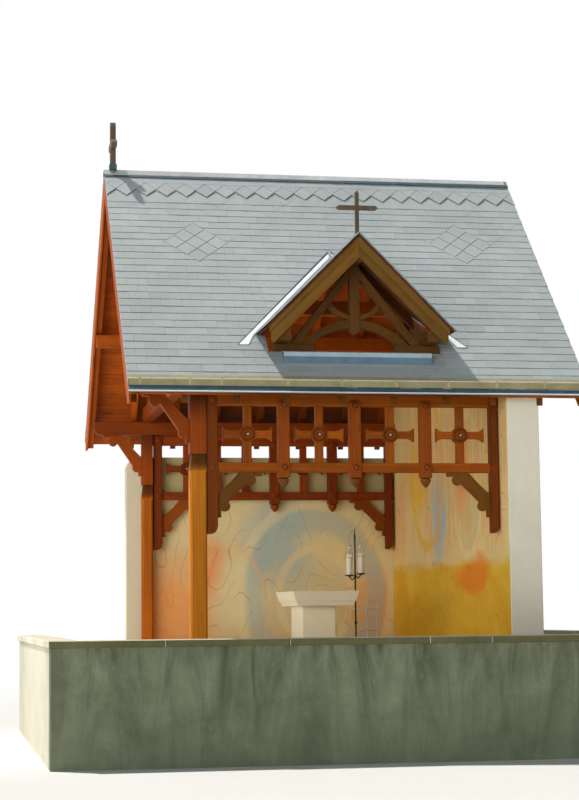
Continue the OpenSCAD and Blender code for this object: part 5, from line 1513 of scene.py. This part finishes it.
for s in (-1, 1):
    z = candleStand["z"] + (candleStand["step"] if s > 0 else 0)
    bend = [(cx + s * (0.008 + 0.072 * k), cy, z - 0.006 + 0.016 * k * k - 0.035 * math.sin(math.pi * k))
            for k in [i / 10 for i in range(11)]]
    tube(iron, bend, 0.0075, 8)
    px, r, ch = cx + s * candleStand["arm"], candleStand["cupR"], candleStand["cupH"]
    lathe(iron, [(0.001, z), (0.016, z), (0.022, z + 0.005), (0.050, z + 0.010), (r, z + 0.018), (r, z + ch),
            (r - 0.004, z + ch), (r - 0.006, z + 0.020), (0.036, z + 0.014), (0.001, z + 0.014)],
          (px, cy, 0), "z", 32)
    # a glass chimney over the flame's place, wide at the foot and flared at the top
    zt, g = z + ch + candleStand["candleH"], candleStand["glass"]
    lathe(glasses, [(0.040, zt), (0.050, zt + 0.006), (0.053, zt + 0.030), (0.047, zt + 0.070),
            (0.034, zt + 0.115), (0.029, zt + 0.145), (0.033, zt + 0.170), (0.041, zt + g), (0.038, zt + g),
            (0.030, zt + 0.170), (0.026, zt + 0.145), (0.031, zt + 0.115), (0.044, zt + 0.070),
            (0.050, zt + 0.030), (0.047, zt + 0.008), (0.038, zt + 0.003)], (px, cy, 0), "z", 32)
makePiece("iron_candle_stand", iron, [ironBlack], ["candle_stand"])
makePiece("candle_glasses", glasses, [glassClear], ())
wax = newPiece()
for s in (-1, 1):
    z = candleStand["z"] + (candleStand["step"] if s > 0 else 0) + candleStand["cupH"]
    px = cx + s * candleStand["arm"]
    r, top = candleStand["candleR"], z + candleStand["candleH"]
    lathe(wax, [(0.001, z), (r - 0.001, z), (r, z + 0.003), (r, top - 0.007), (r - 0.002, top),
                (r - 0.008, top - 0.002), (0.020, top - 0.008), (0.004, top - 0.009), (0.0025, top),
                (0.001, top)], (px, cy, 0), "z", 32)
makePiece("wax_candles", wax, [waxWhite], ["candles"])

wireStand = {"x": 3.005, "y": 3.950, "turn": 38, "w": 0.325, "h": 0.825, "mid": 0.700, "low": 0.400,
             "bar": 0.007}
wire = newPiece()
turn, b = math.radians(-wireStand["turn"]), wireStand["bar"]
turnC, turnS = math.cos(turn), math.sin(turn)


def onStand(p, q, z):
    # p and q along the stand's sides, from its left corner
    p -= wireStand["w"]
    return (wireStand["x"] + p * turnC - q * turnS, wireStand["y"] + p * turnS + q * turnC, z)


near, far = b, wireStand["w"] - b
for p in (near, far):
    for q in (near, far):
        tube(wire, [onStand(p, q, 0), onStand(p, q, wireStand["h"] - 0.006)], b, 10)
        lathe(wire, [(0.001, 0), (0.011, 0), (0.012, 0.006), (0.008, 0.012)], (*onStand(p, q, 0)[:2], 0),
              "z", 12)
for z in (wireStand["low"] + 0.007, wireStand["mid"] + 0.007, wireStand["h"] - 0.007):
    for q in (near, far):
        tube(wire, [onStand(near, q, z), onStand(far, q, z)], b * 0.9, 8)
        tube(wire, [onStand(q, near, z), onStand(q, far, z)], b * 0.9, 8)
for z in (wireStand["low"] + 0.007, wireStand["h"] - 0.007):
    for k in range(1, 6):
        q = near + (far - near) * k / 6
        tube(wire, [onStand(near, q, z), onStand(far, q, z)], 0.0035, 6)
makePiece("white_wire_stand", wire, [whitePaint], ["flower_stand"])
print("altar and stands placed")


# stage, light and camera

studio = {"sunPower": 4.55, "sunSoft": 1.5, "sunWay": (0.38, -0.34, -1.0), "sky": 0.24, "fill": 2.0,
          "fillSoft": 45, "fillWay": (0.62, 0.78, 0.0), "side": 85.0,
          "sidePlace": (-6.4, -0.6, 2.3), "sideAim": (0.5, 0.6, 2.2), "floor": (0.60, 0.60, 0.58),
          "air": (0.80, 0.90, 1.0)}


def seenDirectly(tree):
    # one where the camera looks straight, through glass or by a mirror
    rays = node(tree, "ShaderNodeLightPath").outputs
    clear = number(tree, "MAXIMUM", rays["Is Glossy Ray"], rays["Is Transmission Ray"])
    return number(tree, "MAXIMUM", rays["Is Camera Ray"], clear)


def blendOver(tree, factor, first, second, output):
    blend = node(tree, "ShaderNodeMixShader", {0: factor, 1: first.outputs[0], 2: second.outputs[0]})
    tree.links.new(blend.outputs[0], tree.nodes[output].inputs["Surface"])


bpy.ops.mesh.primitive_plane_add(size=160, location=(0, 30, 0))
floor = bpy.context.object
floor.name = "studio_floor"
floorPaint, tree, shader = newMaterial("palePaperFloor", Roughness=0.95, **{"Specular IOR Level": 0.1})
shader.inputs["Base Color"].default_value = (*studio["floor"], 1)
flat = stretch(tree, node(tree, "ShaderNodeNewGeometry").outputs["Position"], (1, 1, 0))
fade = spread(tree, vectorMath(tree, "LENGTH", {0: flat}, "Value"), 7.5, 24.0)
paper = node(tree, "ShaderNodeEmission", {"Color": (1, 1, 1, 1), "Strength": 1.0})
blendOver(tree, product(tree, fade, seenDirectly(tree)), shader, paper, "Material Output")
floor.data.materials.append(floorPaint)

world = bpy.data.worlds.new("studioSky")
scene.world = world
world.use_nodes = True
tree = world.node_tree
back = tree.nodes["Background"]
back.inputs[0].default_value = (*studio["air"], 1)
back.inputs[1].default_value = studio["sky"]
white = node(tree, "ShaderNodeBackground", {"Color": (1, 1, 1, 1), "Strength": 1.0})
blendOver(tree, seenDirectly(tree), back, white, "World Output")


def addLight(name, kind, place, aim, energy, colour, **rest):
    data = bpy.data.lights.new(name, kind)
    data.energy, data.color = energy, colour
    for key, value in rest.items():
        setattr(data, key, value)
    lamp = bpy.data.objects.new(name, data)
    lamp.location = place
    lamp.rotation_euler = (Vector(aim) - Vector(place)).to_track_quat("-Z", "Y").to_euler()
    scene.collection.objects.link(lamp)
    return lamp


way = Vector(studio["sunWay"]).normalized()
addLight("key_sun", "SUN", tuple(-way * 30), (0, 0, 0), studio["sunPower"], (1.0, 0.965, 0.90),
         angle=math.radians(studio["sunSoft"]))
fillWay = Vector(studio["fillWay"]).normalized()
addLight("front_fill", "SUN", tuple(-fillWay * 20), (0, 0, 0), studio["fill"], (1.0, 0.975, 0.92),
         angle=math.radians(studio["fillSoft"]))
sideLamp = addLight("side_bounce", "AREA", studio["sidePlace"], studio["sideAim"], studio["side"],
                    (1.0, 0.96, 0.88), shape="RECTANGLE", size=5.0, size_y=2.4)
sideLamp.visible_camera = False

view = {"place": (-4.9847, -25.3522, 1.6556), "yaw": 0.1805, "pitch": 0.1101, "roll": -0.0108, "lens": 87.48}
cam = bpy.data.cameras.new("photo_camera")
cam.lens, cam.sensor_width, cam.clip_end = view["lens"], 36.0, 400
camera = bpy.data.objects.new("photo_camera", cam)
flatAhead = Vector((math.sin(view["yaw"]), math.cos(view["yaw"]), 0))
ahead = flatAhead * math.cos(view["pitch"]) + Vector((0, 0, math.sin(view["pitch"])))
right = ahead.cross(Vector((0, 0, 1))).normalized()
up = right.cross(ahead)
c, s = math.cos(view["roll"]), math.sin(view["roll"])
right, up = right * c + up * s, up * c - right * s
axes = zip(right, up, -ahead, view["place"])
camera.matrix_world = Matrix([tuple(row) for row in axes] + [(0, 0, 0, 1)])
scene.collection.objects.link(camera)
scene.camera = camera
